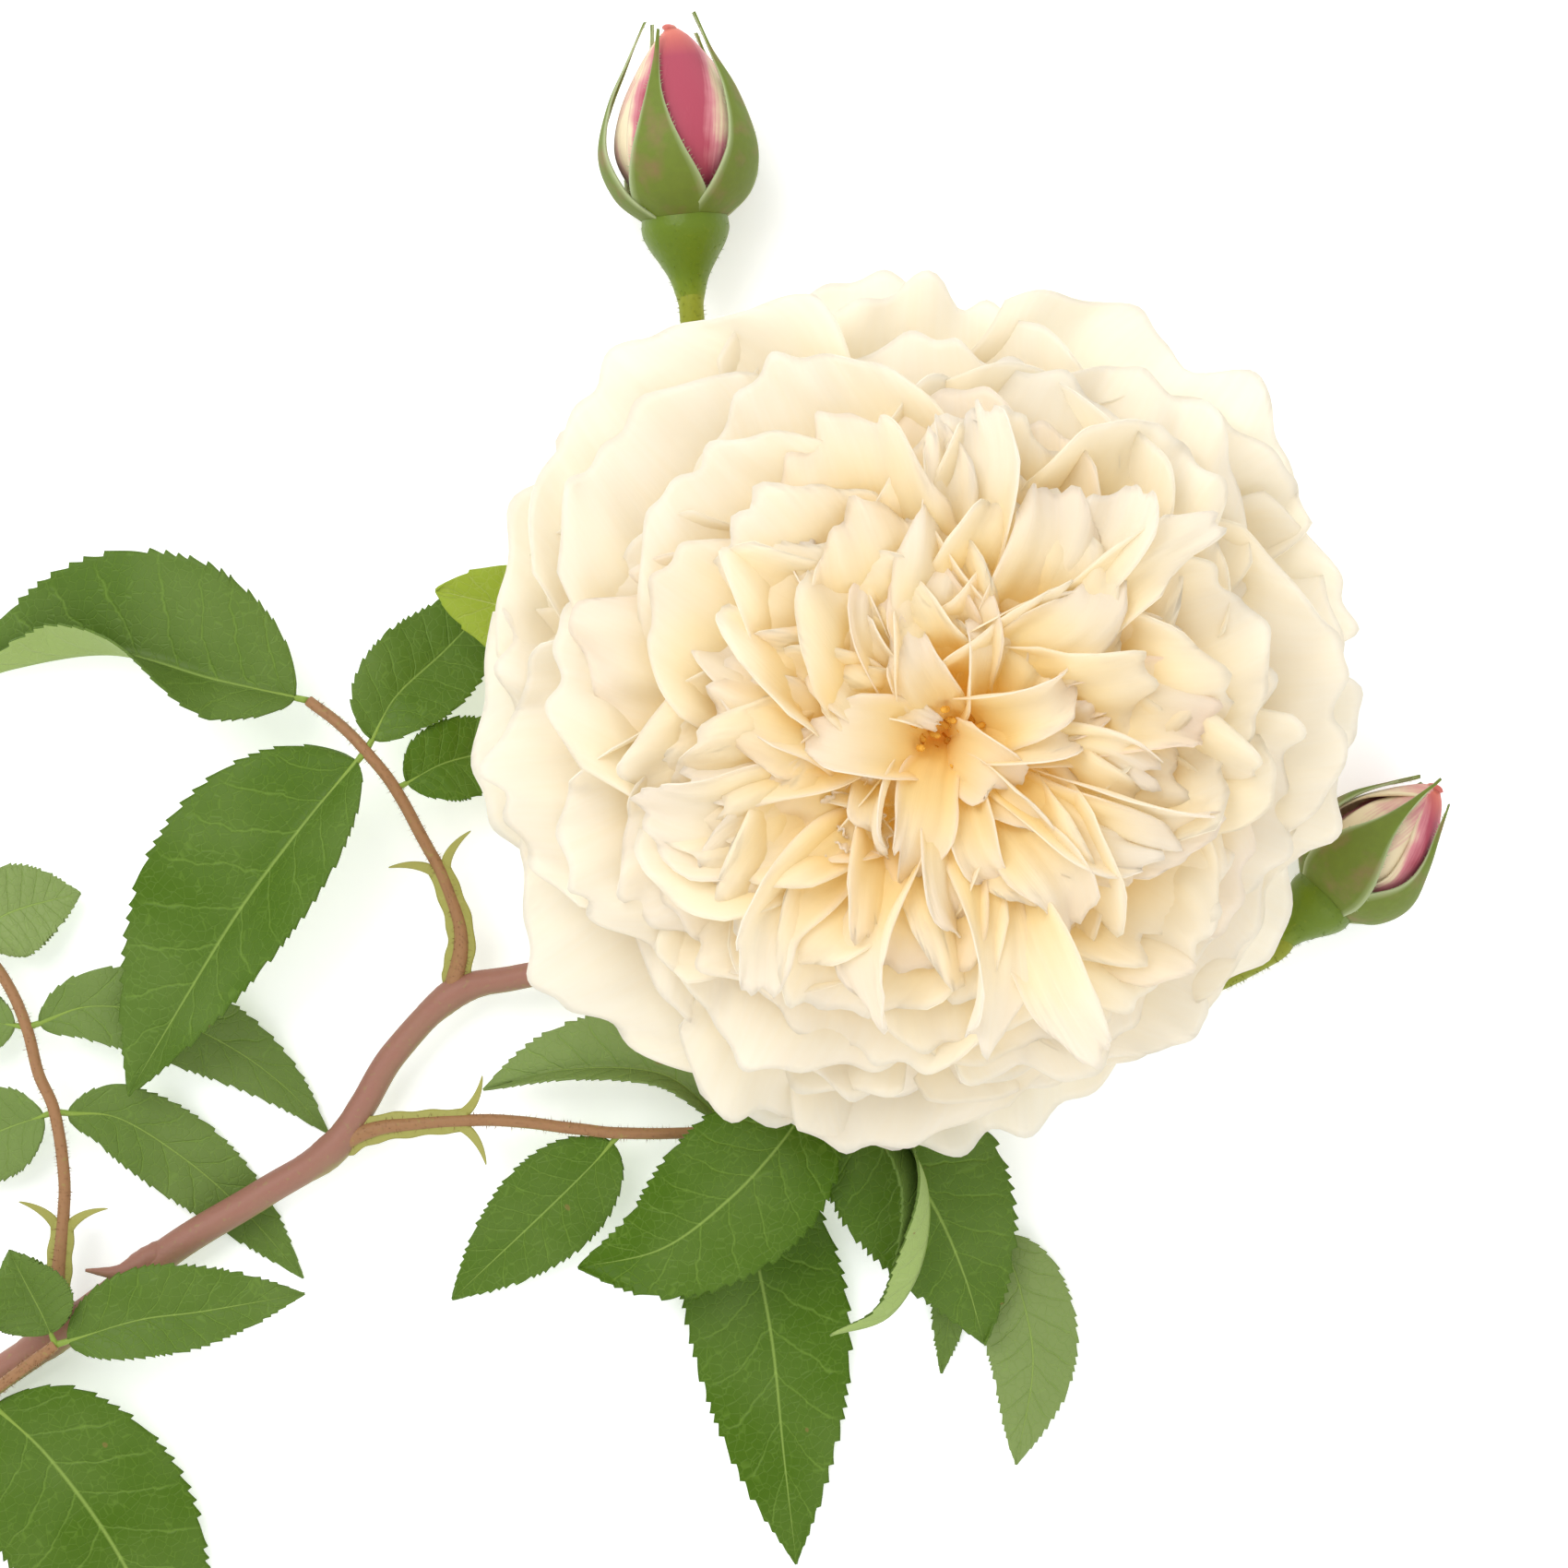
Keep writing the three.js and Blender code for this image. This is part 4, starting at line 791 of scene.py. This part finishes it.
stalkEnds = {
    "bloom_stalk": (rim + axis * -12.8, axis),
    "upper_bud_stalk": (np.array(budTable["upper"]["base"]), unit(budTable["upper"]["way"])),
    "side_bud_stalk": (np.array(budTable["side"]["base"]), unit(budTable["side"]["way"])),
}
rng = np.random.default_rng(9)
for name, stem, points, shares in stalkTable:
    end, way = stalkEnds[stem]
    path = [topFork] + [topFork * [1, 1, 0] + p for p in np.array(points)] + [end - way * 4, end]
    tube = tubePart(path, [stalkLook["radius"] * k for k in shares], 28, 150, 0.03, 6)
    count = int(150 * stalkLook["bristles"])
    grid = tube["points"].reshape(150, 28, 3)
    i, j = rng.integers(3, 147, count), rng.integers(0, 28, count)
    roots, centers = grid[i, j], grid[i].mean(axis=1)
    ways = unit(roots - centers) + rng.normal(0, 0.25, (count, 3))
    lengths = rng.uniform(0.3, 1, count) * stalkLook["bristleLength"]
    hairs = hairPart(roots, ways, lengths, stalkLook["bristleRadius"])
    makePiece(name, [tube, hairs], [stalkSkin], [stem])
print("stage: flower stalks")

# Stamens: thin filaments lean out of the heart, each with a small two-lobed anther on its end
stamenLook = {
    "count": 60, "seed": 2, "filament": 0.16, "anther": 0.42, "height": (17.5, 24.0), "spread": 4.4,
    "color": "#F2BC4C", "dark": "#D09234", "grain": 1.11,
}


# Stamen, ripe: its anthers are covered in loose pollen, so they are matt and mottled. Real pollen is far
# finer; it is drawn as coarse as it needs to show
def stamenMaterial():
    material, tree = newMaterial("stamen, ripe and dusty")
    here = node(tree, "TexCoord", {}, "Object")
    dust = node(tree, "TexNoise", {"Scale": 1 / (stamenLook["grain"] * mm), "Vector": here})
    color = {"data_type": "RGBA", 0: dust, 6: stamenLook["dark"], 7: stamenLook["color"]}
    bump = node(tree, "Bump", {"Strength": 0.5, "Distance": 0.2 * mm, "Height": dust})
    closeMaterial(tree, node(tree, "Mix", color, 2), bump, 0.7)
    return material


rng = np.random.default_rng(stamenLook["seed"])
parts = [turnedPart([(1.9, 0.2), (2.1, 1.5), (1.8, 5.0), (0.9, 6.3)], rim, axis, bloomX, 14, 24)]
low, high = stamenLook["height"]
for i in range(stamenLook["count"]):
    a = 2.39996 * i  # the golden angle, in radians
    reach = stamenLook["spread"] * np.sqrt((i + 0.5) / stamenLook["count"])
    top = rng.uniform(low, high) + 6
    lean = np.array([np.cos(a), np.sin(a)])
    bend = [*(lean * (0.8 + reach * 0.4)), 4.5 + (top - 4.5) * 0.55]
    path = fromBloom([[*(lean * 0.9), 4.5], bend, [*(lean * (0.8 + reach)), top]])
    parts.append(tubePart(path, (stamenLook["filament"],) * 2, 6, 8))
    head = np.array([path[-1] - (path[-1] - path[-2]) * 0.02, path[-1] + unit(rng.normal(0, 1, 3)) * 1.3])
    k = stamenLook["anther"]
    parts.append(tubePart(head, (k * 0.3, k, k * 0.8, k, k * 0.3), 8, 7))
makePiece("stamens", parts, [stamenMaterial()], ["stamen_boss"])
print("stage: stamens")

# Rose leaf, grown: its thin wax gives the top a soft shine, its underside is matt. Side veins and the net
# between them are paler, and pressed into the top. Sizes of patterns are in mm
leafLook = {
    # The top's lighter grey-green, #8A9E5E, is partly a painted sheen of the wax
    "top": ("#4A6B0C", "#8A9E5E", "#8DB04A", "#98B457"), "under": ("#9FB766", "#A9BD78", "#B9CC8A", "#B9CC8A"),
    "bract": ("#93A92F", "#A9B94C", "#BBC770", "#BBC770"), "spot": "#8A7440", "through": 0.16,
    "veinPairs": 9.0, "netCell": 1.1, "cloud": 14.3, "wobble": 3.125, "spotSize": 2.38,
}


# colors are the blade's darker green, its lighter grey-green that is partly a painted sheen, its veins and its
# midrib. Side veins are lines of equal veinPairs * along - 1.9 * across + 0.75 * across^2, so they leave the
# midrib and curve towards the tip
def leafMaterial(name, colors, sunk, rough):
    look = leafLook
    dark, light, veinColor, midrib = colors
    material, tree = newMaterial(name)
    here = node(tree, "TexCoord", {}, "Object")
    along = node(tree, "SeparateXYZ", {0: node(tree, "UVMap", {"uv_map": "grain"})})
    across = node(tree, "Math", {"operation": "MULTIPLY_ADD", 0: along.node.outputs[1], 1: 2.0, 2: -1.0})
    across = node(tree, "Math", {"operation": "ABSOLUTE", 0: across})
    bent = node(tree, "Math", {"operation": "MULTIPLY_ADD", 0: across, 1: 0.75, 2: -1.9})
    bent = node(tree, "Math", {"operation": "MULTIPLY", 0: bent, 1: across})
    phase = node(tree, "Math", {"operation": "MULTIPLY_ADD", 0: along, 1: look["veinPairs"], 2: bent})
    wobble = node(tree, "TexNoise", {"Scale": 1 / (look["wobble"] * mm), "Detail": 2.0, "Vector": here})
    phase = wandering(tree, phase, wobble, 0.45)
    phase = node(tree, "Math", {"operation": "ADD", 0: phase, 1: 20.5})
    away = node(tree, "Math", {"operation": "FRACT", 0: phase})
    away = node(tree, "Math", {"operation": "SUBTRACT", 0: away, 1: 0.5})
    away = node(tree, "Math", {"operation": "ABSOLUTE", 0: away})
    line = node(tree, "MapRange", {0: away, 1: 0.01, 2: 0.055, 3: 1.0, 4: 0.0})
    fade = node(tree, "MapRange", {0: across, 1: 0.75, 2: 0.98, 3: 1.0, 4: 0.0})
    line = node(tree, "Math", {"operation": "MULTIPLY", 0: line, 1: fade})
    rib = node(tree, "MapRange", {0: across, 1: 0.01, 2: 0.03, 3: 1.0, 4: 0.0})
    cells = {"feature": "DISTANCE_TO_EDGE", "Scale": 1 / (look["netCell"] * mm), "Vector": here}
    web = node(tree, "MapRange", {0: node(tree, "TexVoronoi", cells), 1: 0.0, 2: 0.07, 3: 1.0, 4: 0.0})
    cloud = node(tree, "TexNoise", {"Scale": 1 / (look["cloud"] * mm), "Detail": 4.0, "Vector": here})
    # toneAndSheen mixes the dark green towards the light grey-green: real tone that differs between leaflets, and
    # partly a painted sheen of the wax
    toneAndSheen = node(tree, "Attribute", {"attribute_name": "toneAndSheen"}, "Fac")
    toneAndSheen = node(tree, "Math", {"operation": "MULTIPLY", 0: toneAndSheen, 1: toneAndSheen})
    green = {"stops": [(0.0, dark), (1.0, light)], 0: wandering(tree, toneAndSheen, cloud, 0.6)}
    color = node(tree, "ValToRGB", green)
    spot = node(tree, "TexNoise", {"Scale": 1 / (look["spotSize"] * mm), "Detail": 1.0, "Vector": here})
    spot = node(tree, "MapRange", {0: spot, 1: 0.79, 2: 0.8, 3: 0.0, 4: 0.6})
    layers = [(web, 0.2, veinColor), (line, 0.3, veinColor), (spot, 1.0, look["spot"]), (rib, 0.7, midrib)]
    for mask, most, layer in layers:
        share = node(tree, "Math", {"operation": "MULTIPLY", 0: mask, 1: most})
        color = node(tree, "Mix", {"data_type": "RGBA", 0: share, 6: color, 7: layer}, 2)
    height = node(tree, "Math", {"operation": "MAXIMUM", 0: line, 1: rib})
    height = node(tree, "Math", {"operation": "MULTIPLY_ADD", 0: web, 1: 0.3, 2: height})
    height = node(tree, "Math", {"operation": "MULTIPLY", 0: height, 1: sunk})
    bump = node(tree, "Bump", {"Strength": 0.5, "Distance": 0.3 * mm, "Height": height})
    closeMaterial(tree, color, bump, rough, look["through"], None, {"Specular IOR Level": 0.2})
    return material


leafTop = leafMaterial("rose leaf, upper side, waxy", leafLook["top"], -1.0, 0.42)
leafUnder = leafMaterial("rose leaf, underside, matt", leafLook["under"], 1.0, 0.65)

# Each leaf: where it springs from the stem, length of its wings, the stalk's points, and leaflets as
# (joint on the stalk, half widths left and right, tilts left and right and again at the tip, rib, and
# toneAndSheen: share of the lighter grey-green, partly painted sheen)
leafTable = {
    "upper_leaf": {
        "node": 0.6415, "stipule": 17,
        "stalk": [(-54.5, -24.5, 6.5), (-56.5, -17.5, 8.5), (-58.5, -13.5, 9.5), (-62, -7, 10.5),
            (-65.5, -2.5, 10.5), (-68.5, 0.5, 9.5), (-72.5, 3.5, 8.5)],
        "leaflets": [
            (6, (8, 13), (50, 4, 132, 6), [(-84, 6, 8.5), (-96, 9, 7), (-108, 7.5, 4.5), (-115, 5, 3)], 0.5),
            (4, (9, 13), (42, -6), [(-72.5, -11, 11.5), (-80, -21, 11), (-87, -32, 9.5),
                (-94, -43.5, 7.5)], 0.35),
            (4, (6, 6), (8, 8), [(-62, 4, 9.5), (-56.5, 9.5, 6.5), (-51.5, 15, 4), (-48, 18.5, 3)], 0.45),
            (3, (4.8, 4.8), (10, 10), [(-56.5, -4, 9), (-51, -2.5, 6.5), (-44.5, -1, 4.5)], 0.3),
        ],
    },
    "middle_leaf": {
        "node": 0.4515, "stipule": 18,
        "stalk": [(-66, -48, 5.2), (-60.5, -47, 6), (-50.5, -46.5, 6.5), (-40.5, -47.5, 7),
            (-35.5, -48, 7), (-28, -48, 7), (-22, -47.5, 6.5)],
        "leaflets": [
            (6, (2.4, 7), (60, 12), [(-30.5, -41, 8), (-41.5, -40.5, 6.5), (-52, -43, 4.5)], 0.9),
            (4, (6, 6), (6, 6), [(-39, -52, 5.5), (-45, -58, 3.5), (-56, -68.5, 0.9)], 0.4),
            (6, (9.6, 9.6), (2, 2), [(-20, -59.5, 3.8), (-17.5, -73, 2), (-16, -87.5, 1),
                (-14.5, -100.5, 0.6)], 0.25),
        ],
    },
    "inner_leaf": {
        "node": 1.0, "stipule": 14,
        "stalk": [(-12, -29.5, 6.5), (-11.5, -42, 8), (-9, -50, 6), (-5.5, -53, 4.4), (1.5, -56, 3),
            (9.5, -59, 2.4)],
        "leaflets": [
            (1, (9, 9), (6, 6), [(-16.5, -49, 11.5), (-22.5, -55.5, 11), (-30.5, -61.5, 9.5),
                (-40.5, -64, 7.5)], 0.15),
            (1, (10, 10), (4, 4), [(-5, -46.5, 9), (1.5, -56, 8), (5.5, -65, 6), (8, -73.5, 4)], 0.35),
            (1, (4.6, 4.6), (66, 66, 152, 26), [(-5, -44.5, 14), (0.5, -52.5, 14.5), (0.5, -62, 12.5),
                (-3.5, -69.5, 9.5), (-10.5, -72, 8)], 0.6),
            (5, (5.5, 5.5), (2, 2), [(12.5, -67.5, 1.8), (14, -76.5, 1), (12, -88.5, 0.5)], 0.95),
            (4, (2.6, 2.6), (4, 4), [(5, -63, 1.6), (4, -70, 1), (3, -77.5, 0.6)], 0.6),
        ],
    },
    "lowest_leaf": {
        "node": 0.025, "stipule": 0,
        "stalk": [(-111, -79.2, 8.4), (-107, -76.3, 9), (-102.5, -73, 8.8)],
        "leaflets": [
            (2, (6, 4.4), (4, 12), [(-92.5, -70, 9.2), (-85, -69, 9), (-73, -67, 8)], 0.5),
            (2, (5.5, 5), (24, 24), [(-104, -69, 10), (-106, -64.5, 11.5), (-107.5, -61.5, 11.5)], 0.6),
            (0, (11.5, 11.5), (2, 2), [(-104, -86.5, 6), (-97.5, -96, 3.6), (-92, -106.5, 1.8),
                (-86.5, -116.5, 0.6)], 0.3),
        ],
    },
    "far_leaf": {
        "node": 0.1405, "stipule": 15,
        "stalk": [(-103, -68.5, 5.5), (-102.5, -63.5, 6), (-102, -57.5, 6), (-102, -52.5, 6),
            (-103, -45.5, 6.5), (-105, -41, 6), (-106.5, -35.5, 5.5), (-108.5, -31, 5),
            (-111, -27.5, 4.5), (-114.5, -25, 4)],
        "leaflets": [
            (9, (5.4, 5.4), (4, 4), [(-108, -21.5, 4), (-100.5, -19.5, 3)], 1.0),
            (6, (5, 5), (3, 3), [(-99, -33, 4.8), (-91, -34, 4.2), (-82.5, -38, 2.8), (-76, -43, 1.3),
                (-71, -48.5, 0.6)], 0.7),
            (6, (4, 4), (4, 4), [(-113, -34.5, 3.6), (-122.5, -31, 1.5)], 0.8),
            (4, (4.8, 4.8), (2, 2), [(-95.5, -46.5, 4.2), (-87.5, -52, 1.6), (-80.5, -58.5, 0.7),
                (-74, -66, 0.5)], 0.65),
            (4, (5.4, 5.4), (4, 4), [(-110, -48, 4), (-122.5, -53.5, 1.2)], 0.8),
        ],
    },
}
leafShape = {
    "start": 1.7, "teeth": 24, "toothDepth": 0.6, "rows": 220, "cols": 25, "thick": 0.3, "quilt": 0.16,
    "lowest": 0.35, "stalkRadii": (1.15, 0.78, 0.72, 0.7, 0.66), "stalkHairs": 520,
    "ribRadii": (0.42, 0.18, 0.12, 0.08, 0.04),
}


# A leaflet: the rib's path, and to each side of it a blade whose width share is u^rise (1-u)^fall over its own
# peak, with a saw of forward teeth on its margin, a tilt for each half, and shallow cushions between the veins
def leafletPart(joint, half, tilt, rib, toneAndSheen, rng, rise=0.62, fall=0.98, teeth=leafShape["teeth"]):
    rib = np.array(rib, float)
    start = joint + leafShape["start"] * unit(rib[0] - joint)
    line = curveThrough(np.vstack([start, rib]), 120)
    rows, cols = leafShape["rows"], leafShape["cols"]
    u = np.linspace(0, 1, rows)[:, None]
    w = np.linspace(-1, 1, cols)[None, :]
    w = np.sin(w * np.pi / 2) * 0.5 + w * 0.5
    t = np.linspace(0, 1, 120)
    at = lambda v, k: np.stack([np.interp(k, t, v[:, i]) for i in range(3)], axis=-1)
    way = unit(np.gradient(line, axis=0))
    side = unit(np.cross([0, 0, 1.0], way))
    up = np.array([0, 0, 1.0])
    body = np.clip(u, 0, 1) ** rise * np.clip(1 - u, 0, 1) ** fall
    peak = rise / (rise + fall)
    share = body / (peak**rise * (1 - peak) ** fall)
    left = w > 0
    full = np.where(left, half[0], half[1])
    width = full * share + 0.3 * (1 - u)
    ends = tilt[2:] if len(tilt) > 2 else tilt[:2]
    over = np.clip((u - 0.2) / 0.5, 0, 1)
    lean = np.radians(mixed(np.where(left, tilt[0], tilt[1]), np.where(left, ends[0], ends[1]), over))
    wobble = 0.35 * np.sin(u * 23 + rng.uniform(0, 6)) + 0.25 * np.sin(u * 41 + rng.uniform(0, 6))
    saw = np.mod(u * teeth + wobble + np.where(left, 0.4, 0.0), 1.0)
    bite = leafShape["toothDepth"] * (saw**1.3 - 0.4) * np.abs(w) ** 7
    bite = bite * np.clip(share * 2.2, 0, 1) * np.clip(full / 9, 0.6, 1.1)
    reach = np.abs(w) * width + bite
    sway = rng.uniform(0, 6.28, 4)
    phase = leafLook["veinPairs"] * u - 1.9 * np.abs(w) + 0.75 * w * w
    lift = leafShape["quilt"] * np.abs(np.sin(np.pi * phase)) * (1 - np.abs(w) ** 4)
    lift = lift * np.clip(np.abs(w) * 5, 0, 1) * share
    lift = lift + 0.055 * full * w * w * np.sin(7 * u + sway[0] + 1.5 * w)
    lift = lift + 0.03 * full * np.abs(w) ** 3 * np.sin(17 * u + sway[1])
    lift = lift + 0.06 * full * np.abs(w) * share - 0.05 * full * w * w * share
    forward = 0.25 * bite
    k = np.clip(u + 0 * w, 0, 1)
    points = at(line, k) + at(side, k) * (np.sign(w) * reach * np.cos(lean))[..., None]
    points = points + up * (reach * np.sin(lean) + lift)[..., None] + at(way, k) * forward[..., None]
    points[..., 2] = np.maximum(points[..., 2], leafShape["lowest"])
    return part(points, u, w * 0.5 + 0.5, False, {"toneAndSheen": toneAndSheen})


# The leaf stalk's wings: two thin strips along its foot, each ending in a free point that turns away
def wingParts(line, length):
    run = np.concatenate([[0], np.cumsum(np.linalg.norm(np.diff(line, axis=0), axis=1))])
    count = int(np.searchsorted(run, length))
    path = line[2:count]
    way = unit(np.gradient(path, axis=0))
    parts = []
    for sign in (-1, 1):
        side = unit(np.cross([0, 0, 1.0], way)) * sign
        n = len(path)
        u = np.linspace(0, 1, n)[:, None]
        v = np.linspace(0, 1, 6)[None, :]
        width = 1.45 * np.clip(u * 9, 0, 1) ** 0.6 * (1 - 0.3 * u) * (1 + 0.08 * np.sin(u * 26 + sign))
        out = 0.35 + width * v
        rise = (0.25 - 0.35 * v + 0 * u)[..., None] * np.array([0, 0, 1.0])
        points = path[:, None] + side[:, None] * out[..., None] + rise
        e = np.linspace(0, 1, 30)[:, None]
        root, dirWay, dirSide = path[-3], way[-3], side[-3]
        spine = root + dirSide * (0.9 + 4.4 * e**1.3) + dirWay * (4.2 * e - 1.6 * e * e)
        spine = spine + np.array([0, 0, 0.9]) * e
        across = unit(dirWay - dirSide * 0.5)
        earWidth = 0.7 * (1 - e) ** 0.8 + 0.04
        earPoints = spine[:, None] - across * (earWidth * (v - 0.5) * 2)[..., None]
        values = {"topSide": 0.2}
        parts.append(part(points, u, v, False, values))
        parts.append(part(earPoints, e, v, False, values))
    return parts


for leaf, look in leafTable.items():
    rng = np.random.default_rng(sum(map(ord, leaf)))
    name = leaf.split("_")[0] + "Leaf"
    foot = topFork if look["node"] == 1.0 else stemAt(look["node"])
    joints = [np.array(p, float) for p in look["stalk"]]
    line = curveThrough([foot] + joints, 160)
    tube = tubePart([foot] + joints, leafShape["stalkRadii"], 18, 130, 0.03, 2)
    grid = tube["points"].reshape(130, 18, 3)
    count = leafShape["stalkHairs"]
    i, j = rng.integers(4, 127, count), rng.integers(0, 18, count)
    ways = unit(grid[i, j] - grid[i].mean(axis=1)) + rng.normal(0, 0.25, (count, 3))
    hairs = hairPart(grid[i, j], ways, rng.uniform(0.25, 0.75, count), 0.035)
    makePiece(name + "Stalk", [tube, hairs], [leafStalkSkin], [leaf + "_stalk"])
    if look["stipule"]:
        makePiece(name + "Wings", wingParts(line, look["stipule"]), [wingSkin], [], 0.3)
    for i, (joint, half, tilt, rib, toneAndSheen) in enumerate(look["leaflets"]):
        foot, number = joints[joint], str(i + 1)
        blade = leafletPart(foot, half, tilt, rib, toneAndSheen, rng)
        stands = [leaf + "_leaflet_" + number]
        makePiece(name + "Blade" + number, [blade], [leafTop, leafUnder], stands, leafShape["thick"])
        ribLine = curveThrough([foot, foot + leafShape["start"] * unit(np.array(rib[0]) - foot), *rib], 60)
        ribTube = tubePart(ribLine[:54] - [0, 0, 0.06], leafShape["ribRadii"], 10, 60, 0.0, 1)
        makePiece(name + "Rib" + number, [ribTube], [ribSkin], [])
    print("stage:", name)

bractLook = {
    "rib": [(-24.6, 14.5, 5.5), (-36, 12.5, 9.5), (-45, 13.5, 12), (-51, 15, 13), (-57, 16.4, 13.2)],
    "half": (5.6, 5.4), "tilt": (14, 4),
}
bractSkin = leafMaterial("bract, young and yellow-green", leafLook["bract"], -0.6, 0.5)
rng = np.random.default_rng(6)
rib = bractLook["rib"]
blade = leafletPart(np.array(rib[0], float), bractLook["half"], bractLook["tilt"], rib[1:], 0.5, rng, 1.6, 0.9, 9)
makePiece("bract", [blade], [bractSkin, leafUnder], ["bract"], 0.3)
print("stage: bract")

floorLook = {
    "size": 6.0, "color": "#FCFDFE", "dust": "#F4F6F9", "light": "#F7FAFF", "glow": 0.3, "dustSize": 25.0,
}


# Light panel, frosted acrylic: matt and lit from below a little, so the rose lies on plain white
def floorMaterial():
    material, tree = newMaterial("light panel, frosted white")
    here = node(tree, "TexCoord", {}, "Object")
    dust = node(tree, "TexNoise", {"Scale": 1 / (floorLook["dustSize"] * mm), "Vector": here})
    share = node(tree, "Math", {"operation": "MULTIPLY", 0: dust, 1: 0.05})
    color = {"data_type": "RGBA", 0: share, 6: floorLook["color"], 7: floorLook["dust"]}
    glow = {"Emission Color": floorLook["light"], "Emission Strength": floorLook["glow"]}
    closeMaterial(tree, node(tree, "Mix", color, 2), None, 0.9, 0.0, None, glow)
    return material


size = floorLook["size"] / 2
mesh = bpy.data.meshes.new("paperSweep")
mesh.from_pydata([(-size, -size, 0), (size, -size, 0), (size, size, 0), (-size, size, 0)], [], [(0, 1, 2, 3)])
mesh.materials.append(floorMaterial())
floor = bpy.data.objects.new("paperSweep", mesh)
bpy.context.scene.collection.objects.link(floor)

lightTable = [
    ("keyWindow", (-0.45, 0.5, 0.95), 0.7, 6.2, "#FFFFFF"),
    ("fillWindow", (0.3, -0.75, 0.75), 0.9, 2.6, "#FFFDFA"),
]
for name, place, width, power, color in lightTable:
    data = bpy.data.lights.new(name, "AREA")
    data.size = width
    data.energy = power
    data.color = srgb(color)[:3]
    lamp = bpy.data.objects.new(name, data)
    lamp.location = place
    lamp.rotation_euler = (-Vector(place)).to_track_quat("-Z", "Y").to_euler()
    bpy.context.scene.collection.objects.link(lamp)
worldLight = 0.86
world = bpy.data.worlds.new("whiteRoom")
world.use_nodes = True
world.node_tree.nodes["Background"].inputs[0].default_value = (1, 1, 1, 1)
world.node_tree.nodes["Background"].inputs[1].default_value = worldLight
bpy.context.scene.world = world

cameraPlace = {"at": (-16.0, -6.4, 526.0), "lens": 100.0, "sensor": 36.0}
lens = bpy.data.cameras.new("overhead")
lens.lens = cameraPlace["lens"]
lens.sensor_width = cameraPlace["sensor"]
camera = bpy.data.objects.new("overhead", lens)
camera.location = (np.array(cameraPlace["at"]) + shift) * mm
bpy.context.scene.collection.objects.link(camera)
bpy.context.scene.camera = camera
bpy.context.scene.view_settings.view_transform = "Standard"
bpy.context.scene.view_settings.look = "None"
